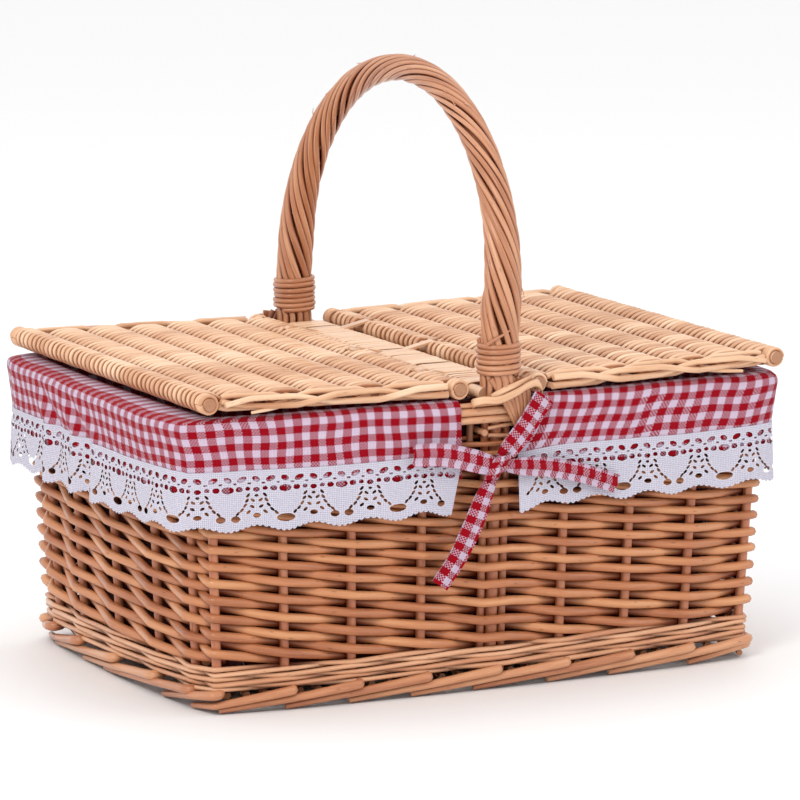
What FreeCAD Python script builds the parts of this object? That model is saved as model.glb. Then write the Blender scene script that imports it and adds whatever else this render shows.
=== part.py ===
"""Lined willow picnic basket with two hinged lids and a fixed roped handle.

Millimetres. Origin at the middle of the footprint on the ground, +X along the basket's length
to the right, +Y to the back, +Z up.
"""
import FreeCAD, Part
import math
import os
from FreeCAD import Vector

# ---- Driving dimensions: the body ----
FOOT_HALF_LENGTH = 187.0    # wall's middle line at the ground, at the corners
FOOT_HALF_WIDTH = 128.5
RIM_FLARE = 9.0             # how far the wall leans out between the ground and the rim
RIM_TOP = 187.5
FRONT_BULGE = 7.0           # how far the sides bow out in plan, halfway between the corners
END_BULGE = 6.0
CORNER_RADIUS = 8.0
WALL_HALF = 7.0             # half the thickness of the weave, a stake with rods on both sides
FOOT_BORDER_TOP = 16.0
WALE_TOP = 33.0
WEAVE_TOP = 178.0
BORDER_HALF = 7.5
STAKE_DIAMETER = 6.0
STAKE_SPAN = (12.0, 184.0)
FRONT_STAKE_X = (-141.0, -96.0, -49.0, 49.0, 96.0, 141.0)
END_STAKE_Y = (-105.0, -58.0, 0.0, 58.0, 105.0)
BASE_SPAN = (7.0, 17.0)
BASE_STICK_COUNT = 7
BASE_STICK_PITCH = 32.0
BASE_STICK_DIAMETER = 6.0

# ---- The handle ----
LEG_Y = 148.5               # middle line of the handle's legs
LEG_TOP = 250.0             # where the arch begins
ARCH_RISE = 131.0
ARCH_LEAN = (5.0, -12.0)    # the top of the arch leans a little to the right and the front
BOW_DIAMETER = 8.0
ARCH_STEP = 10              # degrees between the sections of the arch
ROPING_FOOT = 200.0
ROPING_RADIUS_LEG = 11.7
ROPING_RADIUS_TOP = 8.7
WRAP_SPAN = (200.0, 222.0)
WRAP_WIDTH = 27.0
LINER_X = 7.5               # the two rods pushed into the weave beside the bow's end
LINER_DIAMETER = 5.0
FAN_COUNT = 6
FAN_LOWER_X = 12.0

# ---- Lids and hinges ----
HINGE_X = 28.0
HINGE_Z = 195.5
LID_HALF = 5.5              # half the thickness of a lid
LID_OUTER_X = 200.0         # outer edge stick
LID_HALF_WIDTH = 150.0
LID_RIB_HALF_LENGTH = 145.5
LID_WEAVE_HALF_WIDTH = 139.5
LID_REST_TILT = 1.2         # degrees the lids rise towards the ends, lying on the puffed cloth
LID_STICK_DIAMETER = 8.0
LID_RIB_DIAMETER = 6.0
LID_RIB_COUNT = 5
LID_EDGE_ROD_WIDTH = 4.8
BRIDGE_STICK_X = 11.0
BRIDGE_STICK_Z = 191.8
BRIDGE_HALF_LENGTH = 150.0
BRIDGE_WRAP_HALF_LENGTH = 133.0
SKEIN = 1.5                 # thickness of split willow
LOOP_WIDTH = 7.0
LOOP_CLEARANCE = 0.3
LOOP_Y = (-95.0, 0.0, 95.0)
LOOP_NOTCH_RADIUS = 9.0

# ---- Cloth ----
CLOTH = 1.5
BAG_OFFSET = -7.4
SKIRT_OFFSET = 8.0
SKIRT_GAP_X = 22.0          # the skirts stop here, either side of the handle
SKIRT_BOTTOM = 155.0
LACE_BOTTOM = 119.0
KNOT_X = -8.0
KNOT_Z = 147.6
TIE_Y = -156.6
TIE_WIDTH = 14.0


def flare(z):
    """How far the wall has leaned out at height z."""
    return RIM_FLARE * z / RIM_TOP


def outline(z, offset):
    """Closed plan outline of the wall at height z, moved outward from its middle line."""
    half_x = FOOT_HALF_LENGTH + flare(z) + offset
    half_y = FOOT_HALF_WIDTH + flare(z) + offset
    radius = max(CORNER_RADIUS + offset, 1.0)
    inner_x = half_x - radius
    inner_y = half_y - radius
    diagonal = radius * math.sqrt(0.5)
    edges = []
    for sx, sy in ((1, -1), (1, 1), (-1, 1), (-1, -1)):
        along_side = Vector(sx * inner_x, sy * half_y, z)
        along_end = Vector(sx * half_x, sy * inner_y, z)
        middle = Vector(sx * (inner_x + diagonal), sy * (inner_y + diagonal), z)
        if sx * sy < 0:
            edges.append(Part.Arc(along_side, middle, along_end).toShape())
            bow = Vector(sx * (half_x + END_BULGE), 0, z)
            edges.append(Part.Arc(along_end, bow, Vector(sx * half_x, -sy * inner_y, z)).toShape())
        else:
            edges.append(Part.Arc(along_end, middle, along_side).toShape())
            bow = Vector(0, sy * (half_y + FRONT_BULGE), z)
            edges.append(Part.Arc(along_side, bow, Vector(-sx * inner_x, sy * half_y, z)).toShape())
    return Part.Wire(edges)


def filled(z0, z1, offset):
    """Solid that fills the basket's plan between two heights."""
    return Part.makeLoft([outline(z0, offset), outline(z1, offset)], True, True)


def ring(z0, z1, inner, outer):
    """Wall all round the basket between two heights and two offsets from its middle line."""
    return filled(z0, z1, outer).cut(filled(z0 - 1, z1 + 1, inner))


def quarter(shape, side):
    """The part of a ring that is one wall, divided at the corners."""
    lead = FOOT_HALF_LENGTH - FOOT_HALF_WIDTH
    far = 300.0
    turn = {"front": 0, "back": 180, "left": -90, "right": 90}[side]
    if side in ("front", "back"):
        points = [(-lead, 0), (lead, 0), (lead + far, -far), (-lead - far, -far)]
    else:
        points = [(0, -lead), (far, -lead - far), (-far, -lead - far)]
    wedge = polygon_prism([Vector(x, y, -10) for x, y in points], Vector(0, 0, 400))
    wedge.rotate(Vector(0, 0, 0), Vector(0, 0, 1), turn)
    return shape.common(wedge)


def polygon_prism(points, direction):
    """Prism on a flat polygon."""
    return Part.Face(Part.makePolygon(points + points[:1])).extrude(direction)


def rod(start, end, diameter, end_diameter=None):
    """Round rod from one point to another, tapered when a second diameter is given."""
    axis = end - start
    radius = diameter / 2
    if end_diameter is None:
        return Part.makeCylinder(radius, axis.Length, start, axis)
    return Part.makeCone(radius, end_diameter / 2, axis.Length, start, axis)


def wall_point(side, along, z):
    """Point on a wall's middle line: along is its X on the front and back, its Y on the ends."""
    lean = flare(z)
    if side in ("front", "back"):
        x = along * (1 + lean / FOOT_HALF_LENGTH)
        bow = FRONT_BULGE * (1 - (x / (FOOT_HALF_LENGTH + lean)) ** 2)
        y = FOOT_HALF_WIDTH + lean + bow
        return Vector(x, -y if side == "front" else y, z)
    y = along * (1 + lean / FOOT_HALF_WIDTH)
    bow = END_BULGE * (1 - (y / (FOOT_HALF_WIDTH + lean)) ** 2)
    x = FOOT_HALF_LENGTH + lean + bow
    return Vector(-x if side == "left" else x, y, z)


def corner_point(sx, sy, z):
    """Point on the middle line at a corner."""
    inset = CORNER_RADIUS * (1 - math.sqrt(0.5))
    x = FOOT_HALF_LENGTH + flare(z) - inset
    y = FOOT_HALF_WIDTH + flare(z) - inset
    return Vector(sx * x, sy * y, z)


def stakes(side):
    """The upright rods of one wall."""
    low, high = STAKE_SPAN
    places = FRONT_STAKE_X if side in ("front", "back") else END_STAKE_Y
    rods = []
    for along in places:
        rods.append(rod(wall_point(side, along, low), wall_point(side, along, high), STAKE_DIAMETER))
    return rods


def corner_posts():
    """The upright rod in each corner."""
    low, high = STAKE_SPAN
    rods = []
    for sx in (-1, 1):
        for sy in (-1, 1):
            rods.append(rod(corner_point(sx, sy, low), corner_point(sx, sy, high), STAKE_DIAMETER))
    return rods


def handle_liners(side):
    """The two rods beside the bow's end in the middle of a long wall."""
    rods = []
    for x in (-LINER_X, LINER_X):
        low = wall_point(side, 0, STAKE_SPAN[0])
        high = wall_point(side, 0, STAKE_SPAN[1])
        shift = Vector(x, 0, 0)
        rods.append(rod(low + shift, high + shift, LINER_DIAMETER))
    return rods


def base_sticks():
    """The lengthwise sticks of the base."""
    z = sum(BASE_SPAN) / 2
    rods = []
    for i in range(BASE_STICK_COUNT):
        y = (i - (BASE_STICK_COUNT - 1) / 2) * BASE_STICK_PITCH
        reach = FOOT_HALF_LENGTH - WALL_HALF - 4
        rods.append(rod(Vector(-reach, y, z), Vector(reach, y, z), BASE_STICK_DIAMETER))
    return rods


def handle_path(angle):
    """Point and direction on the arch, by its angle from the front leg (0) to the back leg (180)."""
    a = math.radians(angle)
    bound = WRAP_SPAN[1]
    height = LEG_TOP + ARCH_RISE * math.sin(a)
    lean = (height - bound) / (LEG_TOP + ARCH_RISE - bound)
    slope = ARCH_RISE * math.cos(a) / (LEG_TOP + ARCH_RISE - bound)
    point = Vector(ARCH_LEAN[0] * lean, -LEG_Y * math.cos(a) + ARCH_LEAN[1] * lean, height)
    direction = Vector(0, LEG_Y * math.sin(a) + ARCH_LEAN[1] * slope, ARCH_RISE * math.cos(a))
    return point, direction


def circle(point, direction, radius):
    """Circle square to a direction in the handle's plane, starting on its +X side."""
    wire = Part.Wire([Part.Circle(Vector(0, 0, 0), Vector(0, 0, 1), radius).toShape()])
    tilt = math.degrees(math.atan2(-direction.y, direction.z))
    wire.rotate(Vector(0, 0, 0), Vector(1, 0, 0), tilt)
    wire.translate(point)
    return wire


def handle_tube(feet, radius_of):
    """Round solid along the handle, from one foot over the arch to the other."""
    wires = [circle(point, direction, radius_of(0)) for point, direction in feet]
    for angle in range(0, 181, ARCH_STEP):
        point, direction = handle_path(angle)
        wires.append(circle(point, direction, radius_of(angle)))
    for point, direction in reversed(feet):
        mirrored = Vector(point.x, -point.y, point.z)
        down = Vector(0, direction.y, -direction.z)
        wires.append(circle(mirrored, down, radius_of(180)))
    return Part.makeLoft(wires, True, True)


def roping_radius(angle):
    """The roping thins from the legs to the top of the arch."""
    return ROPING_RADIUS_LEG + (ROPING_RADIUS_TOP - ROPING_RADIUS_LEG) * math.sin(math.radians(angle))


def bow_radius(angle):
    """The bow is a plain round rod."""
    return BOW_DIAMETER / 2


def leg_feet():
    """Places of the roped leg below the arch."""
    return [
        (Vector(0, -LEG_Y + 1, ROPING_FOOT), Vector(0, 0, 1)),
        (Vector(0, -LEG_Y, WRAP_SPAN[1] + 3), Vector(0, 0, 1)),
    ]


def handle_bow():
    """The thick rod inside the handle, its ends pushed down into the walls."""
    low = wall_point("front", 0, STAKE_SPAN[0])
    high = wall_point("front", 0, STAKE_SPAN[1])
    return handle_tube([(low, high - low), (high, high - low)] + leg_feet(), bow_radius)


def handle_roping():
    """Outer form of the rods twisted round the bow."""
    return handle_tube(leg_feet(), roping_radius)


def handle_wrap():
    """Binding round the front foot of the handle, six turns thick and squarish."""
    low, high = WRAP_SPAN
    half = WRAP_WIDTH / 2
    block = Part.makeBox(WRAP_WIDTH, WRAP_WIDTH, high - low, Vector(-half, -LEG_Y - half, low))
    upright = [edge for edge in block.Edges if abs(edge.Length - (high - low)) < 1e-6]
    return block.makeFillet(half / 2, upright)


def handle_fan():
    """Rods that spread out of the front binding and close up over the outside of the border."""
    rods = []
    y = -(FOOT_HALF_WIDTH + RIM_FLARE + FRONT_BULGE + BORDER_HALF + 2.4)
    for i in range(FAN_COUNT):
        step = i - (FAN_COUNT - 1) / 2
        top = Vector(4.3 * step, y, ROPING_FOOT - 1.4)
        bottom = Vector(FAN_LOWER_X + 2.3 * step, y, WEAVE_TOP - 7)
        rods.append(rod(top, bottom, 4.0, 2.0))
    return rods


def bridge_sticks(side):
    """One of the two round sticks that cross the basket under the handle."""
    x = BRIDGE_STICK_X * side
    start = Vector(x, -BRIDGE_HALF_LENGTH, BRIDGE_STICK_Z)
    return rod(start, Vector(x, BRIDGE_HALF_LENGTH, BRIDGE_STICK_Z), LID_STICK_DIAMETER)


def stadium(x0, z0, x1, z1, radius, y0, length):
    """Prism along Y whose section is a band of one radius round two centres."""
    start = Vector(x0, y0, z0)
    end = Vector(x1, y0, z1)
    across = Vector(z0 - z1, 0, x1 - x0)
    across.normalize()
    across.multiply(radius)
    block = polygon_prism([start + across, end + across, end - across, start - across],
                          Vector(0, length, 0))
    along = Vector(0, 1, 0)
    ends = [Part.makeCylinder(radius, length, start, along), Part.makeCylinder(radius, length, end, along)]
    return block.multiFuse(ends).removeSplitter()


def bridge_wrap(loops):
    """Flat skein wound round both bridge sticks, open where the hinge loops come out."""
    outer = stadium(-BRIDGE_STICK_X - 2, BRIDGE_STICK_Z, BRIDGE_STICK_X + 2, BRIDGE_STICK_Z,
                    LID_STICK_DIAMETER / 2 + SKEIN + 0.5, -BRIDGE_WRAP_HALF_LENGTH, 2 * BRIDGE_WRAP_HALF_LENGTH)
    hollow = stadium(-BRIDGE_STICK_X, BRIDGE_STICK_Z, BRIDGE_STICK_X, BRIDGE_STICK_Z,
                     LID_STICK_DIAMETER / 2, -BRIDGE_HALF_LENGTH, 2 * BRIDGE_HALF_LENGTH)
    return outer.cut(hollow).cut(Part.makeCompound(loops))


def hinge_loop(side, y, grow=0.0):
    """Skein loop that ties a lid's inner stick to its bridge stick, grown for its own recess."""
    radius = LID_STICK_DIAMETER / 2 + LOOP_CLEARANCE + SKEIN
    start = y - LOOP_WIDTH / 2 - grow
    length = LOOP_WIDTH + 2 * grow
    centres = (HINGE_X * side, HINGE_Z, BRIDGE_STICK_X * side, BRIDGE_STICK_Z)
    band = stadium(*centres, radius + grow, start, length)
    if grow:
        return band
    return band.cut(stadium(*centres, radius - SKEIN, start - 1, length + 2))


def bridge_band():
    """Flat skein that holds the front end of the bridge down, slung from lid corner to lid corner."""
    drop = [(-24.0, 190.5), (-4.0, 184.0), (25.0, 191.5)]
    width = 5.0
    y = -(LEG_Y + 8.9)
    upper = [Vector(x, y, z + width / 2) for x, z in drop]
    lower = [Vector(x, y, z - width / 2) for x, z in reversed(drop)]
    face = polygon_prism(upper + lower, Vector(0, -1.8, 0))
    pieces = [face]
    for x in (-SKIRT_GAP_X + 0.5, SKIRT_GAP_X - 6.5):
        size_y = -y - 1.8 - BRIDGE_WRAP_HALF_LENGTH
        pieces.append(Part.makeBox(6.0, size_y + 3.0, SKEIN, Vector(x, y - 1.8, RIM_TOP + 0.3)))
    return pieces[0].multiFuse(pieces[1:]).removeSplitter()


def lid_parts():
    """Every node of the right lid, lying flat with its hinge axis along Y."""
    axis = Vector(0, 1, 0)

    def crossing(x, diameter, reach):
        return Part.makeCylinder(diameter / 2, 2 * reach, Vector(x, -reach, HINGE_Z), axis)

    pitch = (LID_OUTER_X - HINGE_X) / (LID_RIB_COUNT + 1)
    inner = crossing(HINGE_X, LID_STICK_DIAMETER, LID_HALF_WIDTH)
    outer = crossing(LID_OUTER_X, LID_STICK_DIAMETER, LID_HALF_WIDTH)
    ribs = [crossing(HINGE_X + pitch * (i + 1), LID_RIB_DIAMETER, LID_RIB_HALF_LENGTH)
            for i in range(LID_RIB_COUNT)]
    sticks = Part.makeCompound([inner, outer] + ribs)
    weave = stadium(HINGE_X, HINGE_Z, LID_OUTER_X, HINGE_Z, LID_HALF,
                    -LID_WEAVE_HALF_WIDTH, 2 * LID_WEAVE_HALF_WIDTH)
    notches = [
        Part.makeCylinder(LOOP_NOTCH_RADIUS, LOOP_WIDTH + 1,
                          Vector(HINGE_X, y - (LOOP_WIDTH + 1) / 2, HINGE_Z), axis)
        for y in LOOP_Y
    ]
    weave = weave.cut(sticks).cut(Part.makeCompound(notches))
    parts = {
        "lid_inner_stick": [inner],
        "lid_outer_stick": [outer],
        "lid_ribs": ribs,
        "lid_weave": [weave],
    }
    for name, sign in (("lid_front_edge_rods", -1), ("lid_back_edge_rods", 1)):
        bars = []
        for i in range(2):
            y = sign * (LID_WEAVE_HALF_WIDTH + 0.1 + LID_EDGE_ROD_WIDTH * (i + 0.5))
            bar = stadium(HINGE_X - 1, HINGE_Z, LID_OUTER_X + 1, HINGE_Z, LID_HALF - 0.3,
                          y - LID_EDGE_ROD_WIDTH / 2 + 0.05, LID_EDGE_ROD_WIDTH - 0.1)
            bars.append(bar.cut(sticks))
        parts[name] = bars
    return parts


def skirt_side(shape, side):
    """The left (-1) or right (1) half of a band of cloth, stopped short of the handle."""
    far = 300.0
    low_x = SKIRT_GAP_X if side > 0 else -SKIRT_GAP_X - far
    return shape.common(Part.makeBox(far, 2 * far, far, Vector(low_x, -far, 0)))


def flat_band(points, width, thickness):
    """Ribbon in the plane of the front, through points given as X and Z."""
    strips = []
    for (x0, z0), (x1, z1) in zip(points, points[1:]):
        across = Vector(z0 - z1, 0, x1 - x0)
        across.normalize()
        across.multiply(width / 2)
        start = Vector(x0, TIE_Y, z0)
        end = Vector(x1, TIE_Y, z1)
        corners = [start + across, end + across, end - across, start - across]
        strips.append(polygon_prism(corners, Vector(0, -thickness, 0)))
    return strips[0].multiFuse(strips[1:]).removeSplitter() if len(strips) > 1 else strips[0]


def tie_parts():
    """Straps that tie the skirts round the front of the handle, and their knot."""
    half = 8.0
    knot = Part.makeBox(2 * half, 8.0, 2 * half, Vector(KNOT_X - half, TIE_Y - 5, KNOT_Z - half))
    knot = knot.makeFillet(2.5, knot.Edges)
    strap = flat_band([(27, 180), (KNOT_X, KNOT_Z), (-24, 110), (-51, 74)], TIE_WIDTH, CLOTH)
    loop = flat_band([(-64, 158), (KNOT_X, KNOT_Z), (80, 127)], TIE_WIDTH, 2 * CLOTH)
    strap = strap.cut(knot)
    loop.translate(Vector(0, -CLOTH - 0.2, 0))
    return {"tie_knot": [knot], "tie_strap": [strap], "tie_loop": [loop.cut(knot)]}


def half_turned(shape):
    """The same piece on the opposite side of the basket."""
    copy = shape.copy()
    copy.rotate(Vector(0, 0, 0), Vector(0, 0, 1), 180)
    return copy


def body_nodes():
    """Base, walls and border."""
    nodes = {"base_sticks": base_sticks(), "corner_posts": corner_posts()}
    for side in ("front", "back", "left", "right"):
        nodes["stakes_" + side] = stakes(side)
    for side in ("front", "back"):
        nodes["handle_liners_" + side] = handle_liners(side)
    uprights = [piece for group in list(nodes)[1:] for piece in nodes[group]]
    uprights = Part.makeCompound(uprights + [handle_bow()])
    sticks = Part.makeCompound(nodes["base_sticks"])
    nodes["base_weave"] = [filled(*BASE_SPAN, -BORDER_HALF).cut(sticks)]
    nodes["foot_border"] = [ring(0, FOOT_BORDER_TOP, -BORDER_HALF, BORDER_HALF).cut(uprights)]
    nodes["lower_wale"] = [ring(FOOT_BORDER_TOP, WALE_TOP, -WALL_HALF, WALL_HALF).cut(uprights)]
    weave = ring(WALE_TOP, WEAVE_TOP, -WALL_HALF, WALL_HALF)
    border = ring(WEAVE_TOP, RIM_TOP, -WALL_HALF, BORDER_HALF)
    for side in ("front", "back", "left", "right"):
        nodes["side_weave_" + side] = [quarter(weave, side).cut(uprights)]
        nodes["top_border_" + side] = [quarter(border, side).cut(uprights)]
    return nodes


def handle_nodes():
    """The handle, its bindings and the rods that come down from them."""
    bow = handle_bow()
    roping = handle_roping()
    wrap = handle_wrap().cut(roping)
    fan = handle_fan()
    return {
        "handle_bow": [bow],
        "handle_roping": [roping.cut(bow)],
        "handle_wrap_front": [wrap],
        "handle_wrap_back": [half_turned(wrap)],
        "handle_fan_front": fan,
        "handle_fan_back": [half_turned(piece) for piece in fan],
    }


def bridge_nodes():
    """The bridge between the lids, its bands and the hinge loops."""
    nodes = {}
    recesses = []
    for name, side in (("left", -1), ("right", 1)):
        nodes["bridge_stick_" + name] = [bridge_sticks(side)]
        nodes["hinge_loops_" + name] = [hinge_loop(side, y) for y in LOOP_Y]
        recesses += [hinge_loop(side, y, 0.05) for y in LOOP_Y]
    nodes["bridge_wrap"] = [bridge_wrap(recesses)]
    nodes["bridge_band_front"] = [bridge_band()]
    nodes["bridge_band_back"] = [half_turned(bridge_band())]
    return nodes


def cloth_nodes():
    """Lining bag, the skirts folded over the border, their lace and the ties."""
    cap_base = RIM_TOP + 0.3
    floor = BASE_SPAN[1] + 0.3
    bag = filled(floor, cap_base, BAG_OFFSET)
    bag = bag.cut(filled(floor + CLOTH, cap_base + 5, BAG_OFFSET - CLOTH))
    outer = SKIRT_OFFSET + CLOTH
    skirt = ring(SKIRT_BOTTOM, cap_base, SKIRT_OFFSET, outer)
    skirt = skirt.fuse(ring(cap_base, cap_base + CLOTH, BAG_OFFSET - CLOTH, outer)).removeSplitter()
    lace = ring(LACE_BOTTOM, SKIRT_BOTTOM, SKIRT_OFFSET, outer)
    nodes = {"liner_bag": [bag]}
    for name, side in (("left", -1), ("right", 1)):
        nodes["liner_skirt_" + name] = [skirt_side(skirt, side)]
        nodes["lace_" + name] = [skirt_side(lace, side)]
    for name, pieces in tie_parts().items():
        nodes[name + "_front"] = pieces
        nodes[name + "_back"] = [half_turned(piece) for piece in pieces]
    return nodes


def lid_nodes():
    """Both lids, the left one being the right one turned half round."""
    nodes = {}
    hinge = Vector(HINGE_X, 0, HINGE_Z)
    for name, pieces in lid_parts().items():
        placed = []
        for piece in pieces:
            piece.rotate(hinge, Vector(0, -1, 0), LID_REST_TILT)
            placed.append(piece)
        nodes["right_" + name] = placed
        opposite = name.replace("front", "BACK").replace("back", "front").replace("BACK", "back")
        nodes["left_" + opposite] = [half_turned(piece) for piece in placed]
    return nodes


os.makedirs("parts", exist_ok=True)
for build in (body_nodes, handle_nodes, bridge_nodes, cloth_nodes, lid_nodes):
    for node, solids in build().items():
        shape = solids[0] if len(solids) == 1 else Part.makeCompound(solids)
        shape.exportStep("parts/" + node + ".step")
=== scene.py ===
"""A willow picnic basket: woven rods, roped handle, hinged lids and a gingham lining with lace.

Lengths in the named values are millimetres; meshes are built in millimetres and scaled to
metres when they are made.
"""
import bpy
import math
import numpy as np
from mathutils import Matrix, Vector


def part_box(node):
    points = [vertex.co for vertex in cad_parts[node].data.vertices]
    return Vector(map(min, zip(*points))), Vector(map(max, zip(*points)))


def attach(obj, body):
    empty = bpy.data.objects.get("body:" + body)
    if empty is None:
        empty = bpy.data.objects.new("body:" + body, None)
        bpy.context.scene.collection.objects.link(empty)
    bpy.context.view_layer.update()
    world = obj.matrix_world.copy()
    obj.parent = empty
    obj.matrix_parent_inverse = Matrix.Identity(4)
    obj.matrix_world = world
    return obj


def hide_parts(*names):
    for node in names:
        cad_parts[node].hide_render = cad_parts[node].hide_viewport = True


MM = 0.001

# ---- Camera ----
CAMERA_AZIMUTH = -26.65
CAMERA_ELEVATION = 9.76
CAMERA_DISTANCE = 3850.0
CAMERA_TARGET = (5.8, 1.4, 163.3)
CAMERA_LENS = 266.8

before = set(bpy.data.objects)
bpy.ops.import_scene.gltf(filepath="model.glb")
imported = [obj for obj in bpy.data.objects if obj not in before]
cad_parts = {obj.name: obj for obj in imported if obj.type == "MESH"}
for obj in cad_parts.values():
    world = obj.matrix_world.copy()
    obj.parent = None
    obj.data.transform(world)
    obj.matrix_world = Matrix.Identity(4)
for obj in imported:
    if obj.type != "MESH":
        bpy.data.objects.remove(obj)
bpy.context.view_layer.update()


def add_camera():
    azimuth = math.radians(CAMERA_AZIMUTH)
    elevation = math.radians(CAMERA_ELEVATION)
    back = Vector((math.sin(azimuth) * math.cos(elevation),
                   -math.cos(azimuth) * math.cos(elevation), math.sin(elevation)))
    target = Vector(CAMERA_TARGET) * MM
    data = bpy.data.cameras.new("camera")
    data.lens = CAMERA_LENS
    data.sensor_width = 36.0
    data.clip_end = 50.0
    camera = bpy.data.objects.new("camera", data)
    camera.location = target + back * CAMERA_DISTANCE * MM
    camera.rotation_euler = back.to_track_quat("Z", "Y").to_euler()
    bpy.context.scene.collection.objects.link(camera)
    bpy.context.scene.camera = camera


add_camera()


def box_mm(node):
    """A node's lowest and highest corners, in millimetres."""
    low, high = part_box(node)
    return np.array(low) / MM, np.array(high) / MM


# ---- The body's plan, worked out from the frame ----
BORDER_HALF = 7.5  # from the wall's middle line to the outside of a border
FOOT_SPREAD = 0.8  # the foot border stands out by this much more
FRONT_BULGE = 7.0  # how far the long walls bow out in their middle
END_BULGE = 6.0
CORNER_RADIUS = 8.0
foot_corner = box_mm("foot_border")[1]
rim_corner = box_mm("top_border_right")[1]
HALF_LENGTH = foot_corner[0] - BORDER_HALF - END_BULGE - FOOT_SPREAD
HALF_WIDTH = foot_corner[1] - BORDER_HALF - FRONT_BULGE - FOOT_SPREAD
RIM_TOP = rim_corner[2]
RIM_FLARE = rim_corner[0] - BORDER_HALF - END_BULGE - HALF_LENGTH
FRONT_STAKE_X = (-141.0, -96.0, -49.0, 49.0, 96.0, 141.0)
END_STAKE_Y = (-105.0, -58.0, 0.0, 58.0, 105.0)
LINER_X = 9.0
# What lies at the front is built there, and turned half round for the back.
FLIP = {"front": np.array([1.0, 1.0, 1.0]), "back": np.array([-1.0, -1.0, 1.0])}

rng = np.random.default_rng(7)


def unit(v):
    return v / np.maximum(np.linalg.norm(v, axis=-1, keepdims=True), 1e-9)


def along_line(points):
    """How far along a line each of its points is."""
    return np.concatenate([[0], np.cumsum(np.linalg.norm(np.diff(points, axis=0), axis=1))])


def round_line(line):
    """How far round a closed line each of its points is, and its whole length."""
    steps = np.linalg.norm(np.roll(line, -1, axis=0) - line, axis=1)
    return np.concatenate([[0], np.cumsum(steps)])[:-1], steps.sum()


def bulged(half, bulge, other_half, x):
    """Distance from the middle of a wall that bows out by bulge, at x along it."""
    return half + bulge * (1 - (x / other_half) ** 2)


def ripple(x, seed, scale):
    """Smooth wandering value between about -1 and 1 along x."""
    total = np.zeros_like(x, dtype=float)
    for i, weight in enumerate((1.0, 0.6, 0.35)):
        total += weight * np.sin(x / scale * (1.0 + 0.83 * i) + seed * (2.3 + 1.7 * i) + i)
    return total / 1.95


class Plan:
    """The wall's middle line, walked round from the middle of the back over the left end."""

    def __init__(self, step=1.0):
        inner_x = HALF_LENGTH - CORNER_RADIUS
        inner_y = HALF_WIDTH - CORNER_RADIUS
        xs = np.arange(0, inner_x, step)
        ys = np.arange(-inner_y, inner_y, step)
        arc = np.radians(np.arange(0, 90, 8.0))
        long_y = bulged(HALF_WIDTH, FRONT_BULGE, HALF_LENGTH, xs)
        end_x = bulged(HALF_LENGTH, END_BULGE, HALF_WIDTH, ys)
        cos, sin = CORNER_RADIUS * np.cos(arc), CORNER_RADIUS * np.sin(arc)
        left = np.vstack([
            np.column_stack([-xs, long_y]),
            np.column_stack([-inner_x - sin, inner_y + cos]),
            np.column_stack([-end_x, -ys]),
            np.column_stack([-inner_x - cos, -inner_y - sin]),
            np.column_stack([-xs[::-1], -long_y[::-1]]),
        ])
        line = np.vstack([left, -left])
        line = line[np.linalg.norm(line - np.roll(line, 1, axis=0), axis=1) > 1e-6]
        self.s, self.length = round_line(line)
        tangent = unit(np.roll(line, -2, axis=0) - np.roll(line, 2, axis=0))
        self.line = line
        self.normal = np.column_stack([tangent[:, 1], -tangent[:, 0]])

    def pick(self, values, s):
        return np.interp(s, self.s, values, period=self.length)

    def facing(self, s):
        """The way out of the wall, in x and in y, with its length (a little under 1 at corners)."""
        nx, ny = self.pick(self.normal[:, 0], s), self.pick(self.normal[:, 1], s)
        return nx, ny, np.hypot(nx, ny)

    def at(self, s, z, offset):
        """Points s along the wall, at height z, moved outward by offset."""
        s, z, offset = np.broadcast_arrays(np.asarray(s, float), z, offset)
        lean = RIM_FLARE * z / RIM_TOP
        nx, ny, size = self.facing(s)
        x = self.pick(self.line[:, 0], s) * (1 + lean / HALF_LENGTH) + offset * nx / size
        y = self.pick(self.line[:, 1], s) * (1 + lean / HALF_WIDTH) + offset * ny / size
        return np.stack([x, y, z], axis=-1)


plan = Plan()


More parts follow.
